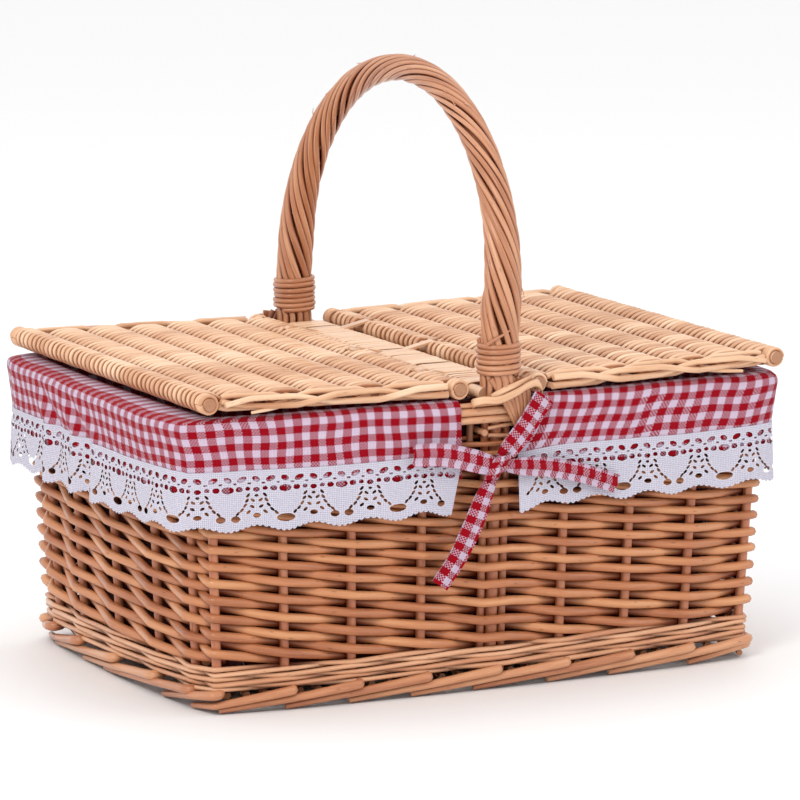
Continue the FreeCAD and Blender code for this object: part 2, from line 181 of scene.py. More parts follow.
class PostLine:
    """The line through the uprights: straight from one to the next, so that rods kink at each.

    Each entry of a wall's list is an upright's place and the way out of the wall there.
    """

    def __init__(self):
        inset = CORNER_RADIUS * (1 - math.sqrt(0.5))
        back = [((x, bulged(HALF_WIDTH, FRONT_BULGE, HALF_LENGTH, x)),
                 (2 * FRONT_BULGE * x / HALF_LENGTH ** 2, 1.0))
                for x in (-LINER_X,) + FRONT_STAKE_X[2::-1]]
        corner = [((-HALF_LENGTH + inset, HALF_WIDTH - inset), (-1.0, 1.0))]
        left = [((-bulged(HALF_LENGTH, END_BULGE, HALF_WIDTH, y), y),
                 (-1.0, 2 * END_BULGE * y / HALF_WIDTH ** 2)) for y in END_STAKE_Y[::-1]]
        front = [((x, -y), (nx, -ny)) for (x, y), (nx, ny) in (back + corner)[::-1]]
        half = back + corner + left + front
        middle = np.array([p for p, n in half])
        normal = unit(np.array([n for p, n in half]))
        self.line = np.vstack([middle, -middle])
        self.normal = np.vstack([normal, -normal])
        numbers = np.arange(len(half))
        self.number = np.concatenate([numbers, numbers + len(half) - 1])
        self.s, self.length = round_line(self.line)

    def between(self, s):
        """The upright before a place and how far the place is towards the next one."""
        base = np.asarray(s, float) % self.length
        ends = np.append(self.s, self.length)
        i = np.clip(np.searchsorted(ends, base, side="right") - 1, 0, len(self.s) - 1)
        return i, (i + 1) % len(self.s), (base - ends[i]) / (ends[i + 1] - ends[i])

    def count(self, s):
        """Running number of the uprights on both sides of a place, and the part between them."""
        i, j, part = self.between(s)
        turn = np.floor(np.asarray(s, float) / self.length) * self.number[-1]
        after = np.where(j == 0, self.number[-1], self.number[j])
        return self.number[i] + turn, after + turn, part

    def at(self, s, z, offset):
        """Points s along the line, at height z, moved outward by offset."""
        i, j, part = self.between(s)
        part = part[:, None]
        middle = self.line[i] * (1 - part) + self.line[j] * part
        normal = unit(self.normal[i] * (1 - part) + self.normal[j] * part)
        z, offset = (np.broadcast_to(value, len(middle)) for value in (z, offset))
        lean = RIM_FLARE * z / RIM_TOP
        x = middle[:, 0] * (1 + lean / HALF_LENGTH) + offset * normal[:, 0]
        y = middle[:, 1] * (1 + lean / HALF_WIDTH) + offset * normal[:, 1]
        return np.column_stack([x, y, z])

    def places(self, start, stop, step):
        """Evenly spaced places, and one at each upright."""
        turns = np.arange(-1, 4)[:, None] * self.length
        at_posts = (self.s[None, :] + turns).ravel()
        at_posts = at_posts[(at_posts > start) & (at_posts < stop)]
        even = np.arange(start, stop, step)
        far = np.min(np.abs(even[:, None] - at_posts[None, :]), axis=1) > step * 0.35
        return np.sort(np.concatenate([even[far], at_posts]))


posts = PostLine()
STAKE_COUNT = int(posts.number[-1])


def woven(s, phase, outside=1, inside=1):
    """+1 where a rod passes outside a stake, -1 where it passes inside, smooth between."""
    i, j, part = posts.between(s)

    def side(k):
        return np.where((posts.number[k] + phase) % (outside + inside) < outside, 1.0, -1.0)

    return side(i) + (side(j) - side(i)) * crossing(part)


def crossing(part):
    """How a rod goes from one side of the wall to the other: nearly straight."""
    return 0.8 * part + 0.2 * (1 - np.cos(np.pi * part)) / 2


def station(n):
    """Place along the wall of stake number n, which may lie between two stakes."""
    middles = [posts.s[posts.number == i].mean() for i in range(1, STAKE_COUNT)]
    ends = np.concatenate([[-LINER_X], middles, [posts.length - LINER_X]])
    turn = np.floor(n / STAKE_COUNT)
    part = np.interp(n - turn * STAKE_COUNT, np.arange(STAKE_COUNT + 1), ends)
    return turn * posts.length + part


HANDLE_REACH = 17.0  # how far to each side of the bow's end the rods are pushed aside


def beside_handle(s):
    """1 at the middle of the long walls, where the rods pass the thick end of the bow."""
    half = posts.length / 2
    away = np.abs((s + LINER_X + half / 2) % half - half / 2)
    return np.exp(-(away / HANDLE_REACH) ** 2)


CORNER_RISE = 6.5
RISE_BEFORE, RISE_AFTER = 62, 22  # how far from a corner the ranks climb to it and fall from it


def corner_rise(s):
    """The ranks of the side weave climb towards a corner, and fall away faster on its far side."""
    corners = posts.s[np.min(np.abs(posts.normal), axis=1) > 0.5]
    half = posts.length / 2
    away = (s[:, None] - corners[None, :] + half) % posts.length - half
    fade = np.exp(-np.where(away > 0, away / RISE_BEFORE, -away / RISE_AFTER))
    return CORNER_RISE * np.max(fade, axis=1)


def smooth(points, step=2.0):
    """Evenly spaced places on a smooth curve through the given ones."""
    points = np.asarray(points, float)
    t = along_line(points)
    slope = np.gradient(points, t, axis=0)
    fine = np.linspace(0, t[-1], max(int(t[-1] / step), 4) + 1)
    i = np.clip(np.searchsorted(t, fine, side="right") - 1, 0, len(t) - 2)
    h = (t[i + 1] - t[i])[:, None]
    u = (fine - t[i])[:, None] / h
    return ((2 * u ** 3 - 3 * u ** 2 + 1) * points[i] + (u ** 3 - 2 * u ** 2 + u) * h * slope[i]
            + (3 * u ** 2 - 2 * u ** 3) * points[i + 1] + (u ** 3 - u ** 2) * h * slope[i + 1])


# ---- Meshes ----
GRAIN_SCALE = 0.04  # the grain pattern's steps per millimetre of rod
CUT_END = -0.5  # the painted shade value of a rod's cut end: never in shade


class Bundle:
    """Rods gathered into one mesh, with the values that their material needs."""

    def __init__(self):
        self.points, self.quads, self.tris = [], [], []
        self.tone, self.recess, self.grain = [], [], []
        self.count = 0

    def rod(self, path, radius, tone=None, recess=0.0, sides=8, up=(0, 0, 1), flat=1.0,
            front=None, side_shade=0.5, turned=False):
        """Sweep a round or flattened section along a path; flat scales it along up.

        front is the section's angle that faces out, or both sides when the rod is turned over;
        away from it the colour is darkened with painted shade.
        """
        path = np.asarray(path, float)
        n = len(path)
        radius, recess = (np.broadcast_to(np.asarray(v, float), (n,)) for v in (radius, recess))
        tone = rng.uniform(0, 1) if tone is None else tone
        tangent = unit(np.gradient(path, axis=0))
        across = unit(np.cross(np.broadcast_to(np.asarray(up, float), (n, 3)), tangent))
        height = np.cross(tangent, across)
        angle = np.linspace(0, 2 * np.pi, sides, endpoint=False)
        cos, sin = np.cos(angle), np.sin(angle)
        ring = (path[:, None, :] + radius[:, None, None] * (
            cos[None, :, None] * across[:, None, :]
            + flat * sin[None, :, None] * height[:, None, :]))
        start = rng.uniform(0, 900)
        grain = np.stack(np.broadcast_arrays(
            (along_line(path)[:, None] + start) * GRAIN_SCALE, cos[None, :], sin[None, :]), axis=-1)
        # painted shade along the rod, where it dips inside the weave or behind other parts
        recess = np.repeat(recess, sides).reshape(n, sides)
        # painted shade on the side of the section turned away from front
        if front is not None:
            facing = np.abs(np.cos(angle - front)) if turned else np.cos(angle - front)
            recess = recess + side_shade * np.clip(0.5 - facing, 0, 1)[None, :]
        self._store(ring.reshape(-1, 3), grain.reshape(-1, 3), tone, recess.ravel())
        first = self.count - n * sides
        self.quads.append(grid_faces(n, sides, closed=True) + first)
        self._cap(ring[0], path[0], tone, start, True)
        self._cap(ring[-1], path[-1], tone, start, False)

    def _store(self, points, grain, tone, recess):
        self.points.append(points)
        self.grain.append(grain)
        self.tone.append(np.full(len(points), tone))
        self.recess.append(recess)
        self.count += len(points)

    def _cap(self, ring, centre, tone, start, first_end):
        sides = len(ring)
        points = np.vstack([ring, centre[None, :]])
        grain = np.zeros_like(points)
        grain[:, 0] = start
        self._store(points, grain, tone, np.full(len(points), CUT_END))
        base = self.count - len(points)
        j = np.arange(sides)
        k = (j + 1) % sides
        order = (k, j) if first_end else (j, k)
        tris = np.stack([order[0] + base, order[1] + base, np.full(sides, base + sides)], axis=-1)
        self.tris.append(tris)

    def make(self, name, look, body="basket", nodes=None):
        faces = np.vstack(self.quads).tolist() + np.vstack(self.tris).tolist()
        mesh = new_mesh(name, np.vstack(self.points), faces)
        set_value(mesh, "tone", np.concatenate(self.tone))
        set_value(mesh, "recess", np.concatenate(self.recess))
        set_vector(mesh, "grain", np.vstack(self.grain))
        return place(name, mesh, look, body, nodes or [name])


def new_mesh(name, points, faces):
    mesh = bpy.data.meshes.new(name)
    mesh.from_pydata((np.asarray(points) * MM).tolist(), [], faces)
    mesh.shade_smooth()
    return mesh


def set_value(mesh, name, values):
    layer = mesh.attributes.new(name, "FLOAT", "POINT")
    layer.data.foreach_set("value", np.asarray(values, np.float32))


def set_vector(mesh, name, values):
    layer = mesh.attributes.new(name, "FLOAT_VECTOR", "POINT")
    layer.data.foreach_set("vector", np.asarray(values, np.float32).ravel())


def place(name, mesh, look, body, nodes):
    """Make the piece's object with its look's material, parented to its CAD body; hide the CAD
    nodes it stands for.
    """
    material, slot = look
    mesh.materials.append(material)
    piece = bpy.data.objects.new(name, mesh)
    bpy.context.scene.collection.objects.link(piece)
    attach(piece, body)
    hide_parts(*nodes)
    return piece


def grid_faces(rows, columns, closed=False):
    """Quads of a rows by columns grid of points; closed joins the last column to the first."""
    i = np.arange(rows - 1)[:, None] * columns
    j = np.arange(columns if closed else columns - 1)[None, :]
    k = (j + 1) % columns
    return np.stack([i + j, i + k, i + k + columns, i + j + columns], axis=-1).reshape(-1, 4)


# ---- Materials ----
SOCKETS = {"roughness": "Roughness", "specular": "Specular IOR Level", "sheen": "Sheen Weight",
           "coat": "Coat Weight", "coat_roughness": "Coat Roughness"}


class Nodes:
    """Short way to write a material's node tree."""

    def __init__(self, name):
        self.material = bpy.data.materials.new(name)
        self.material.use_nodes = True
        self.tree = self.material.node_tree
        self.shader = self.tree.nodes["Principled BSDF"]

    def add(self, kind, inputs=None, **settings):
        node = self.tree.nodes.new(kind)
        for key, value in settings.items():
            setattr(node, key, value)
        for key, value in (inputs or {}).items():
            self.feed(node.inputs[key], value)
        return node

    def feed(self, socket, value):
        if isinstance(value, bpy.types.NodeSocket):
            self.tree.links.new(value, socket)
        else:
            socket.default_value = value

    def math(self, operation, a, b=0.0, clamp=False):
        node = self.add("ShaderNodeMath", {0: a, 1: b}, operation=operation, use_clamp=clamp)
        return node.outputs[0]

    def plus(self, a, b, clamp=False):
        return self.math("ADD", a, b, clamp)

    def minus(self, a, b, clamp=False):
        return self.math("SUBTRACT", a, b, clamp)

    def times(self, a, b, clamp=False):
        return self.math("MULTIPLY", a, b, clamp)

    def mix(self, factor, a, b):
        node = self.add("ShaderNodeMix", data_type="RGBA")
        for socket, value in ((node.inputs["Factor"], factor), (node.inputs[6], a),
                              (node.inputs[7], b)):
            self.feed(socket, value)
        return node.outputs[2]

    def attribute(self, name, output="Vector"):
        return self.add("ShaderNodeAttribute", attribute_name=name).outputs[output]

    def stretched(self, vector, scale):
        return self.add("ShaderNodeMapping", {"Vector": vector, "Scale": scale}).outputs[0]

    def split(self, vector):
        return self.add("ShaderNodeSeparateXYZ", {0: vector}).outputs

    def noise(self, vector, scale, detail, roughness=0.5):
        return self.add("ShaderNodeTexNoise", {"Vector": vector, "Scale": scale, "Detail": detail,
                                               "Roughness": roughness}).outputs["Fac"]

    def surface(self, base, height, strength, distance, **numbers):
        """Colour and bump, and the shader's numbers that are the same all over."""
        self.feed(self.shader.inputs["Base Color"], base)
        bump = self.add("ShaderNodeBump", {"Height": height, "Strength": strength,
                                           "Distance": distance})
        self.feed(self.shader.inputs["Normal"], bump.outputs[0])
        self.plain(**numbers)
        return self.material

    def plain(self, **numbers):
        for name, value in numbers.items():
            self.shader.inputs[SOCKETS[name]].default_value = value

    def ramp(self, value, stops):
        node = self.add("ShaderNodeValToRGB", {0: value})
        points = node.color_ramp.elements
        while len(points) < len(stops):
            points.new(0.5)
        for point, (position, colour) in zip(points, stops):
            point.position = position
            point.color = colour
        return node.outputs[0]


def colour(red, green, blue):
    """Linear colour from the 0 to 255 values a colour picker shows."""
    def linear(v):
        v /= 255.0
        return v / 12.92 if v <= 0.04045 else ((v + 0.055) / 1.055) ** 2.4
    return (linear(red), linear(green), linear(blue), 1.0)


TONE_SHARE, BROAD_SHARE, STREAK_SHARE = 0.36, 0.62, 0.55  # what a rod's tone is mixed from
VARNISH = 0.5


def willow(name, dark, middle, light, recess_colour, stretch=None, knots=0.5, end_grain=False):
    """Peeled, varnished willow: streaks along the rod, small knots, and painted shade where it dips
    inside or turns from the light.

    stretch is None for rods with their own grain values, or the scale of the object's own
    coordinates for the plain sticks. With end_grain, the ends sawn across y are darker.
    """
    t = Nodes(name)
    if stretch is None:
        grain = t.attribute("grain")
        tone = t.attribute("tone", "Fac")
    else:
        where = t.add("ShaderNodeTexCoord").outputs["Object"]
        grain = t.stretched(where, stretch)
        tone = t.noise(where, 9.0, 0.0)
    broad = t.noise(grain, 0.7, 2.0)
    streak = t.noise(t.stretched(grain, (0.6, 2.2, 2.2)), 2.2, 4.0, 0.6)
    mixed = t.plus(t.times(tone, TONE_SHARE), t.times(broad, BROAD_SHARE))
    mixed = t.plus(mixed, t.times(t.minus(streak, 0.5), STREAK_SHARE), clamp=True)
    base = t.ramp(mixed, [(0.12, dark), (0.5, middle), (0.88, light)])
    spots = t.add("ShaderNodeTexVoronoi", {"Vector": t.stretched(grain, (1.6, 0.7, 0.7)),
                                           "Scale": 1.0}).outputs["Distance"]
    knot = t.times(t.ramp(spots, [(0.07, (1, 1, 1, 1)), (0.13, (0, 0, 0, 1))]), knots)
    base = t.mix(knot, base, tuple(c * 0.4 for c in dark[:3]) + (1.0,))
    if stretch is None:
        # painted shade: the colour goes towards the shade colour, with less varnish shine
        depth = t.times(t.attribute("recess", "Fac"), 0.85, clamp=True)
        base = t.mix(depth, base, recess_colour)
        t.feed(t.shader.inputs["Coat Weight"], t.times(t.minus(1.0, depth, clamp=True), VARNISH))
    else:
        t.plain(coat=VARNISH)
    if end_grain:
        lengthwise = t.split(t.add("ShaderNodeTexCoord").outputs["Normal"])[1]
        sawn = t.math("GREATER_THAN", t.math("ABSOLUTE", lengthwise), 0.85)
        base = t.mix(t.times(sawn, 0.8), base, recess_colour)
    t.feed(t.shader.inputs["Roughness"], t.plus(t.times(streak, 0.25), 0.26))
    height = t.plus(t.times(streak, 0.5), t.times(knot, 0.8))
    return t.surface(base, height, 0.28, 0.0006, coat_roughness=0.2, specular=0.3)


SIDE_TONES = (colour(150, 84, 50), colour(190, 122, 80), colour(216, 156, 108))
FOOT_TONES = (colour(158, 92, 60), colour(200, 136, 96), colour(224, 172, 130))
PALE_TONES = (colour(176, 112, 78), colour(208, 152, 114), colour(228, 180, 144))
LID_TONES = (colour(184, 126, 88), colour(226, 180, 142), colour(246, 214, 182))
HANDLE_TONES = (colour(142, 80, 50), colour(190, 130, 94), colour(222, 170, 134))
# darker than the rods: painted shade, as the uprights show only in the gaps between rods
UPRIGHT_SHADED_TONES = (colour(146, 78, 50), colour(182, 110, 74), colour(204, 140, 102))
# colours of the painted shade where rods dip inside the weave
ROD_SHADE = colour(104, 34, 14)
LID_SHADE = colour(150, 80, 42)
END_GRAIN = colour(150, 92, 58)

# A look is a material and the slot it belongs to.
SIDES = willow("willow_sides", *SIDE_TONES, ROD_SHADE), "willow_sides"
WALE = willow("willow_wale", *PALE_TONES, ROD_SHADE), "willow_wale"
BORDER = WALE[0], "willow_sides"
FOOT = willow("willow_foot", *FOOT_TONES, ROD_SHADE), "willow_sides"
LIDS = willow("willow_lids", *LID_TONES, LID_SHADE, knots=0.35), "willow_lids"
HANDLE = willow("willow_handle", *HANDLE_TONES, ROD_SHADE, knots=0.4), "willow_handle"
SKEIN = willow("willow_skein", *LID_TONES, LID_SHADE, knots=0.15), "willow_skein"
upright_willow = willow("willow_uprights", *UPRIGHT_SHADED_TONES, ROD_SHADE, stretch=(160, 160, 22))
crossing_willow = willow("willow_crossings", *LID_TONES, END_GRAIN, stretch=(140, 22, 140),
                         end_grain=True)
length_willow = willow("willow_base_sticks", *SIDE_TONES, ROD_SHADE, stretch=(22, 140, 140))
loop_willow = willow("willow_hinge_loops", *LID_TONES, LID_SHADE, stretch=(40, 120, 60), knots=0.1)

GINGHAM_ACROSS = 11.0
GINGHAM_DOWN = 9.2
THREAD = 1.0
THREAD_SHARE = 0.64  # how much of the half-red squares shows as separate threads
# the colour of painted shade on cloth seen only through the weave
SHADED_CLOTH = colour(88, 30, 18)


def gingham(name):
    """Red and white check woven thread by thread, on the cloth's own millimetres.

    Where the cloth's third value is 1 it is darkened with painted shade, as behind the side weave.
    """
    t = Nodes(name)
    cloth = t.attribute("cloth")
    across, down, shade = t.split(cloth)

    def stripe(value, period, share):
        return t.math("LESS_THAN", t.math("FRACT", t.math("DIVIDE", value, period)), share)

    def threads(value):
        return t.math("FLOOR", t.math("DIVIDE", value, THREAD))

    def ridges(value):
        return t.math("SINE", t.times(value, math.pi / THREAD))

    warp = stripe(across, GINGHAM_ACROSS, 0.53)
    weft = stripe(down, GINGHAM_DOWN, 0.5)
    order = t.plus(threads(across), threads(down))
    top = t.math("LESS_THAN", t.math("FRACT", t.times(order, 0.5)), 0.25)
    woven_red = t.plus(t.times(warp, top), t.times(weft, t.minus(1.0, top)))
    red_amount = t.plus(t.times(woven_red, THREAD_SHARE),
                        t.times(t.math("MAXIMUM", warp, weft), 1 - THREAD_SHARE))
    speckle = t.noise(cloth, 1.4, 2.0)
    red = t.mix(speckle, colour(112, 0, 14), colour(166, 3, 26))
    white = t.mix(speckle, colour(166, 146, 170), colour(216, 200, 216))
    checked = t.mix(red_amount, white, red)
    return t.surface(t.mix(t.times(shade, 0.93), checked, SHADED_CLOTH),
                     t.plus(ridges(across), ridges(down)), 0.2, 0.0002,
                     roughness=0.88, sheen=0.06, specular=0.1)


NET_PITCH = 2.6  # radians of the lace's net for each millimetre of cloth


def lace_cotton(name):
    """White cotton lace: a crossed net of threads with small pits, closed beside the holes."""
    t = Nodes(name)
    cloth = t.attribute("cloth")
    across, down, rim = t.split(cloth)
    one = t.math("SINE", t.times(t.plus(across, down), NET_PITCH))
    two = t.math("SINE", t.times(t.minus(across, down), NET_PITCH))
    net = t.times(one, two)
    pits = t.times(t.math("GREATER_THAN", net, 0.35), rim)
    thread = t.mix(t.noise(cloth, 1.1, 3.0), colour(194, 190, 206), colour(232, 228, 240))
    return t.surface(t.mix(t.times(pits, 0.6), thread, colour(132, 126, 158)), net, 0.7, 0.0005,
                     roughness=0.9, sheen=0.2, specular=0.2)


CHECK = gingham("gingham_cotton"), "gingham_cotton"
LACE = lace_cotton("cotton_lace"), "cotton_lace"


# ---- Body ----
STEP = 3.0  # between the points of a rod in the walls
OUT_AND_UP = np.pi - 0.45  # the angle of a wall rod's section that the light falls on


def weaving(s, w, swing, seed, low, high):
    """How far out a rod runs that starts at low and stops at high, its ends tucked inside."""
    ends = 1.6 * (np.exp(-(s - low) / 9) + np.exp(-(high - s) / 9))
    return w * (swing + 1.5 * beside_handle(s)) - ends + 0.25 * ripple(s, seed + 3, 23)


def round_the_wall(bundle, phase, z, radius, swing, over=(1, 1), lift=0.0):
    """One row of weaving: two or three rods one after another."""
    inside = [s for s in posts.s if woven(np.array([s]), phase, *over)[0] < -0.9]
    count = int(rng.integers(2, 4))
    first = int(rng.integers(len(inside)))
    picks = [first + round(len(inside) * i / count) for i in range(count + 1)]
    for a, b in zip(picks, picks[1:]):
        start = inside[a % len(inside)] + posts.length * (a // len(inside)) - 7
        stop = inside[b % len(inside)] + posts.length * (b // len(inside)) + 7
        s = posts.places(start, stop, STEP)
        part = (s - start) / (stop - start)
        w = woven(s, phase, *over)
        seed = rng.uniform(0, 50)
        thick = radius * (1.08 - 0.2 * part + 0.04 * ripple(s, seed, 31))
        offset = weaving(s, w, swing, seed, start, stop)
        height = z + 0.45 * radius / 2.8 * ripple(s, seed + 9, 37)
        height = height + lift * woven(s, phase + 1, *over)
        # painted shade where the rod passes inside the uprights, and on its side away from the
        # light
        recess = np.clip((0.35 - w) / 1.1, 0, 1)
        bundle.rod(posts.at(s, height, offset), thick, recess=recess, front=OUT_AND_UP, side_shade=0.6)


RANKS = 22
FIRST_RANK_Z = 27.9
WEAVE_TOP = 164
WALLS = ("front", "back", "left", "right")


def side_weave():
    """One rod for each upright. It starts low behind it and climbs one rank at each upright it
    passes, outside one and inside the next. Thinner level rows fill the wall up to the border.
    """
    ranks = np.arange(RANKS + 1)
    steps = 3.14 - 0.54 * ranks / RANKS
    heights = FIRST_RANK_Z + np.concatenate([[0], np.cumsum(1.9 * steps[:-1])])
    odd, even = Bundle(), Bundle()
    for first in range(STAKE_COUNT):
        start, stop = station(first) + 6.0, station(first - RANKS) - 6.0
        s = posts.places(stop, start, STEP)
        before, after, part = posts.count(s)
        rank = np.clip(first - (before + (after - before) * part), 0, RANKS)

        def side(number):
            return np.where((first - number) % 2 == 1, 1.0, -1.0)

        w = side(before) + (side(after) - side(before)) * crossing(part)
        seed = rng.uniform(0, 50)
        radius = np.interp(rank, ranks, steps) * (1 + 0.035 * ripple(s, seed, 31))
        tip = np.clip((s - stop) / 40, 0.55, 1)
        offset = weaving(s, w, 5.1, seed, stop, start)
        level = np.interp(rank, ranks, heights)
        z = level + corner_rise(s) * (1 - level / 230) + 0.4 * ripple(s, seed + 9, 37)
        # painted shade where the rod passes inside the uprights, and on its side away from the
        # light
        recess = np.clip((-0.1 - w) / 0.8, 0, 1)
        bundle = odd if first % 2 else even
        bundle.rod(posts.at(s, z, offset), radius * tip, recess=recess, front=OUT_AND_UP,
                   side_shade=0.95)
    z, row = heights[-1] - 1.0, 0
    while z < WEAVE_TOP:
        round_the_wall(odd, row % 2, z, 1.6, 4.4)
        z += 3.1
        row += 1
    walls = ["side_weave_" + wall for wall in WALLS]
    odd.make("side_weave_odd_rods", SIDES, nodes=walls)
    even.make("side_weave_even_rods", SIDES, nodes=walls)


def lower_wale():
    bundle = Bundle()
    for i in range(7):
        round_the_wall(bundle, i, 15.2 + 2.15 * i, 1.62, 4.3, over=(2, 1), lift=-0.8)
    bundle.make("lower_wale", WALE)


def foot_border():
    """The ends of the stakes, each kinked out under the wale and laid down over the next two."""
    bundle = Bundle()
    for n in range(STAKE_COUNT):
        high = station(n) + 3.0
        low = station(n - 2.05 + rng.uniform(-0.3, 0.3))
        part = np.linspace(0, 1, 44)
        laid = high - 4 - (high - 4 - low) * part
        seed = rng.uniform(0, 30)
        wander = 0.35 * ripple(laid, seed + 5, 29) * part * (1 - part) * 4
        # each value first over the five points of the kink, then along the part laid down
        s = np.concatenate([[high] * 3, [high - 0.6, high - 2.0], laid])
        offset = np.concatenate([[0.5, 3.2, 5.8, 7.3, 8.1],
                                 8.5 - 4.6 * part + 0.3 * ripple(laid, seed, 25)])
        z = np.concatenate([[13.4, 13.3, 13.2, 13.1, 13.0], 12.9 - 10.5 * part ** 0.95 + wander])
        radius = np.concatenate([[2.7, 3.1, 3.3, 3.3, 3.2], 3.15 - 1.2 * part])
        # painted shade at the kink, where the stake goes in under the wale, and near its tucked
        # end; also on the rod's side away from the light
        recess = np.concatenate([[0.8, 0.4, 0.0, 0.0, 0.0], 0.45 * part ** 3])
        bundle.rod(posts.at(s, z, offset), radius, recess=recess, front=0.45, side_shade=0.6)
    bundle.make("foot_border", FOOT)


def base_weave():
    """Rods across the basket, over one of the base's lengthwise sticks and under the next."""
    bundle = Bundle()
    for row, x in enumerate(np.arange(-HALF_LENGTH + 6, HALF_LENGTH - 5, 6.1)):
        reach = bulged(HALF_WIDTH, FRONT_BULGE, HALF_LENGTH, x) - 9
        y = np.arange(-reach, reach + 1, 4.0)
        w = np.cos(np.pi * y / 32) * (-1) ** row
        z = 12 + 4.1 * w
        path = np.column_stack([x + 0.5 * ripple(y, row, 30), y, z])
        # the whole base weave darkened a little with painted shade
        bundle.rod(path, 2.4 + 0.15 * ripple(y, row + 4, 50), recess=0.25)
    bundle.make("base_weave", SIDES)


def top_border():
    """Rods laid along the rim outside and inside, and the rod ends by each foot of the handle."""
    bundle = Bundle()
    for offset, z, radius in ((5.2, 175.2, 2.6), (5.2, 180.7, 2.5), (4.9, 185.0, 1.6),
                              (-5.0, 176.5, 2.5), (-5.0, 182.2, 2.5)):
        seed = rng.uniform(0, 40)
        start = rng.uniform(120, 500)
        s = np.arange(start, start + plan.length + 12, 4.0)
        path = plan.at(s, z + 0.35 * ripple(s, seed, 45), offset + 0.3 * ripple(s, seed + 3, 38))
        bundle.rod(path, radius * (1 + 0.05 * ripple(s, seed, 60)))
    for flip in FLIP.values():
        for z0, length, drop in ((169.4, 25.0, 1.4), (164.9, 27.0, -0.8)):
            path = smooth([(-8.0, -148.2, z0), (-8.0 + length * 0.5, -149.2, z0 + drop),
                           (-8.0 + length, -146.6, z0 + drop)])
            # a little painted shade on the rods by the handle's foot
            bundle.rod(path * flip, 1.3, recess=0.15)
        peg = smooth([(-11.5, -138.0, 167.6), (-11.5, -151.5, 167.2)], 3.0)
        bundle.rod(peg * flip, 2.2, up=(1, 0, 0))
        for x in (-17.5, 21.0):
            post = smooth([(x, -141.6, 160.0), (x + 0.6, -141.8, 174.0)], 3.0)
            # painted shade on the posts, which stand back in the gap by the handle's foot
            bundle.rod(post * flip, 2.4, recess=0.7, up=(1, 0, 0))
    bundle.make("top_border", BORDER, nodes=["top_border_" + wall for wall in WALLS])


# ---- Handle ----
LEG_Y = 148.5
LEG_BOTTOM = 188.0
LEG_TOP = 250.0
ARCH_RISE = 131.0
ARCH_LEAN = (5.0, -12.0)
WRAP_TOP = 222.0
ROPE_RADIUS, ROPE_TAPER = 11.9, 3.1  # at the feet, and how much less it is at the top
STRANDS = 13
TWIST = -0.037  # radians for each millimetre
SLIVERS = 16


def handle_line():
    """The handle's middle line from the front foot over the arch, with the way out of the arch,
    how far up the arch (0 to 1) and how far along the line each point is.
    """
    leg = np.arange(LEG_BOTTOM, LEG_TOP, 2.5)
    leg_y = -LEG_Y + np.clip((225 - leg) / 25, 0, 1.5)
    angle = np.radians(np.arange(0, 180.1, 1.0))
    y = np.concatenate([leg_y, -LEG_Y * np.cos(angle), -leg_y[::-1]])
    z = np.concatenate([leg, LEG_TOP + ARCH_RISE * np.sin(angle), leg[::-1]])
    rise = np.concatenate([np.zeros(len(leg)), np.sin(angle), np.zeros(len(leg))])
    lean = np.clip((z - WRAP_TOP) / (LEG_TOP + ARCH_RISE - WRAP_TOP), 0, 1)
    line = np.column_stack([ARCH_LEAN[0] * lean, y + ARCH_LEAN[1] * lean, z])
    tangent = unit(np.gradient(line, axis=0))
    outward = np.column_stack([np.zeros_like(y), -tangent[:, 2], tangent[:, 1]])
    return line, outward, rise, along_line(line)


def handle_roping():
    """Rods twisted round the bow, a little slack above the front binding, and a few slivers."""
    line, outward, rise, along = handle_line()
    sideways = np.array([1.0, 0.0, 0.0])
    outer = ROPE_RADIUS - ROPE_TAPER * rise
    end = along[-1]
    bundle = Bundle()
    for i in range(STRANDS):
        seed = rng.uniform(0, 60)
        twisting = np.clip(along - 12, 0, end - 24)
        phi = 2 * np.pi * i / STRANDS + TWIST * twisting + 0.12 * ripple(along, seed, 42)
        thick = 0.196 * outer * (rng.uniform(0.86, 1.1) + 0.08 * ripple(along, seed + 2, 35))
        slack = 0.7 * np.exp(-((along - 62) / 30) ** 2) * (1 + ripple(along, seed + 7, 16))
        reach = outer - thick * 0.95 + 0.25 * ripple(along, seed + 5, 24) + slack
        radial = np.cos(phi)[:, None] * outward + np.sin(phi)[:, None] * sideways
        # painted shade on each strand's flanks, lighter on its outer face
        bundle.rod(line + reach[:, None] * radial, thick, up=radial, flat=0.95, front=np.pi / 2,
                   side_shade=1.9)
    for _ in range(SLIVERS):
        j = int(np.searchsorted(along, rng.uniform(0.1, 0.9) * end))
        phi = rng.uniform(-1.7, 1.7)
        radial = np.cos(phi) * outward[j] + np.sin(phi) * sideways
        tangent = unit(line[j + 1] - line[j])
        root = line[j] + (outer[j] - 0.4) * radial
        tip = (root + radial * rng.uniform(0.8, 2.2)
               + tangent * rng.uniform(3, 7) * rng.choice((-1, 1)))
        sliver = smooth([root, (root + tip) / 2 + radial * 0.3, tip], 1.0)
        bundle.rod(sliver, np.linspace(0.4, 0.12, len(sliver)), tone=0.9, sides=5, up=radial)
    bundle.make("handle_roping", HANDLE)


BINDING_TURNS = 6.35
BINDING_START = 0.6  # the angle at which the binding begins
BINDING_SQUARENESS = 2.5  # 2 would be a round binding
BINDING_LOW = 203.6
BINDING_PITCH = 3.32
FAN_RODS = 7


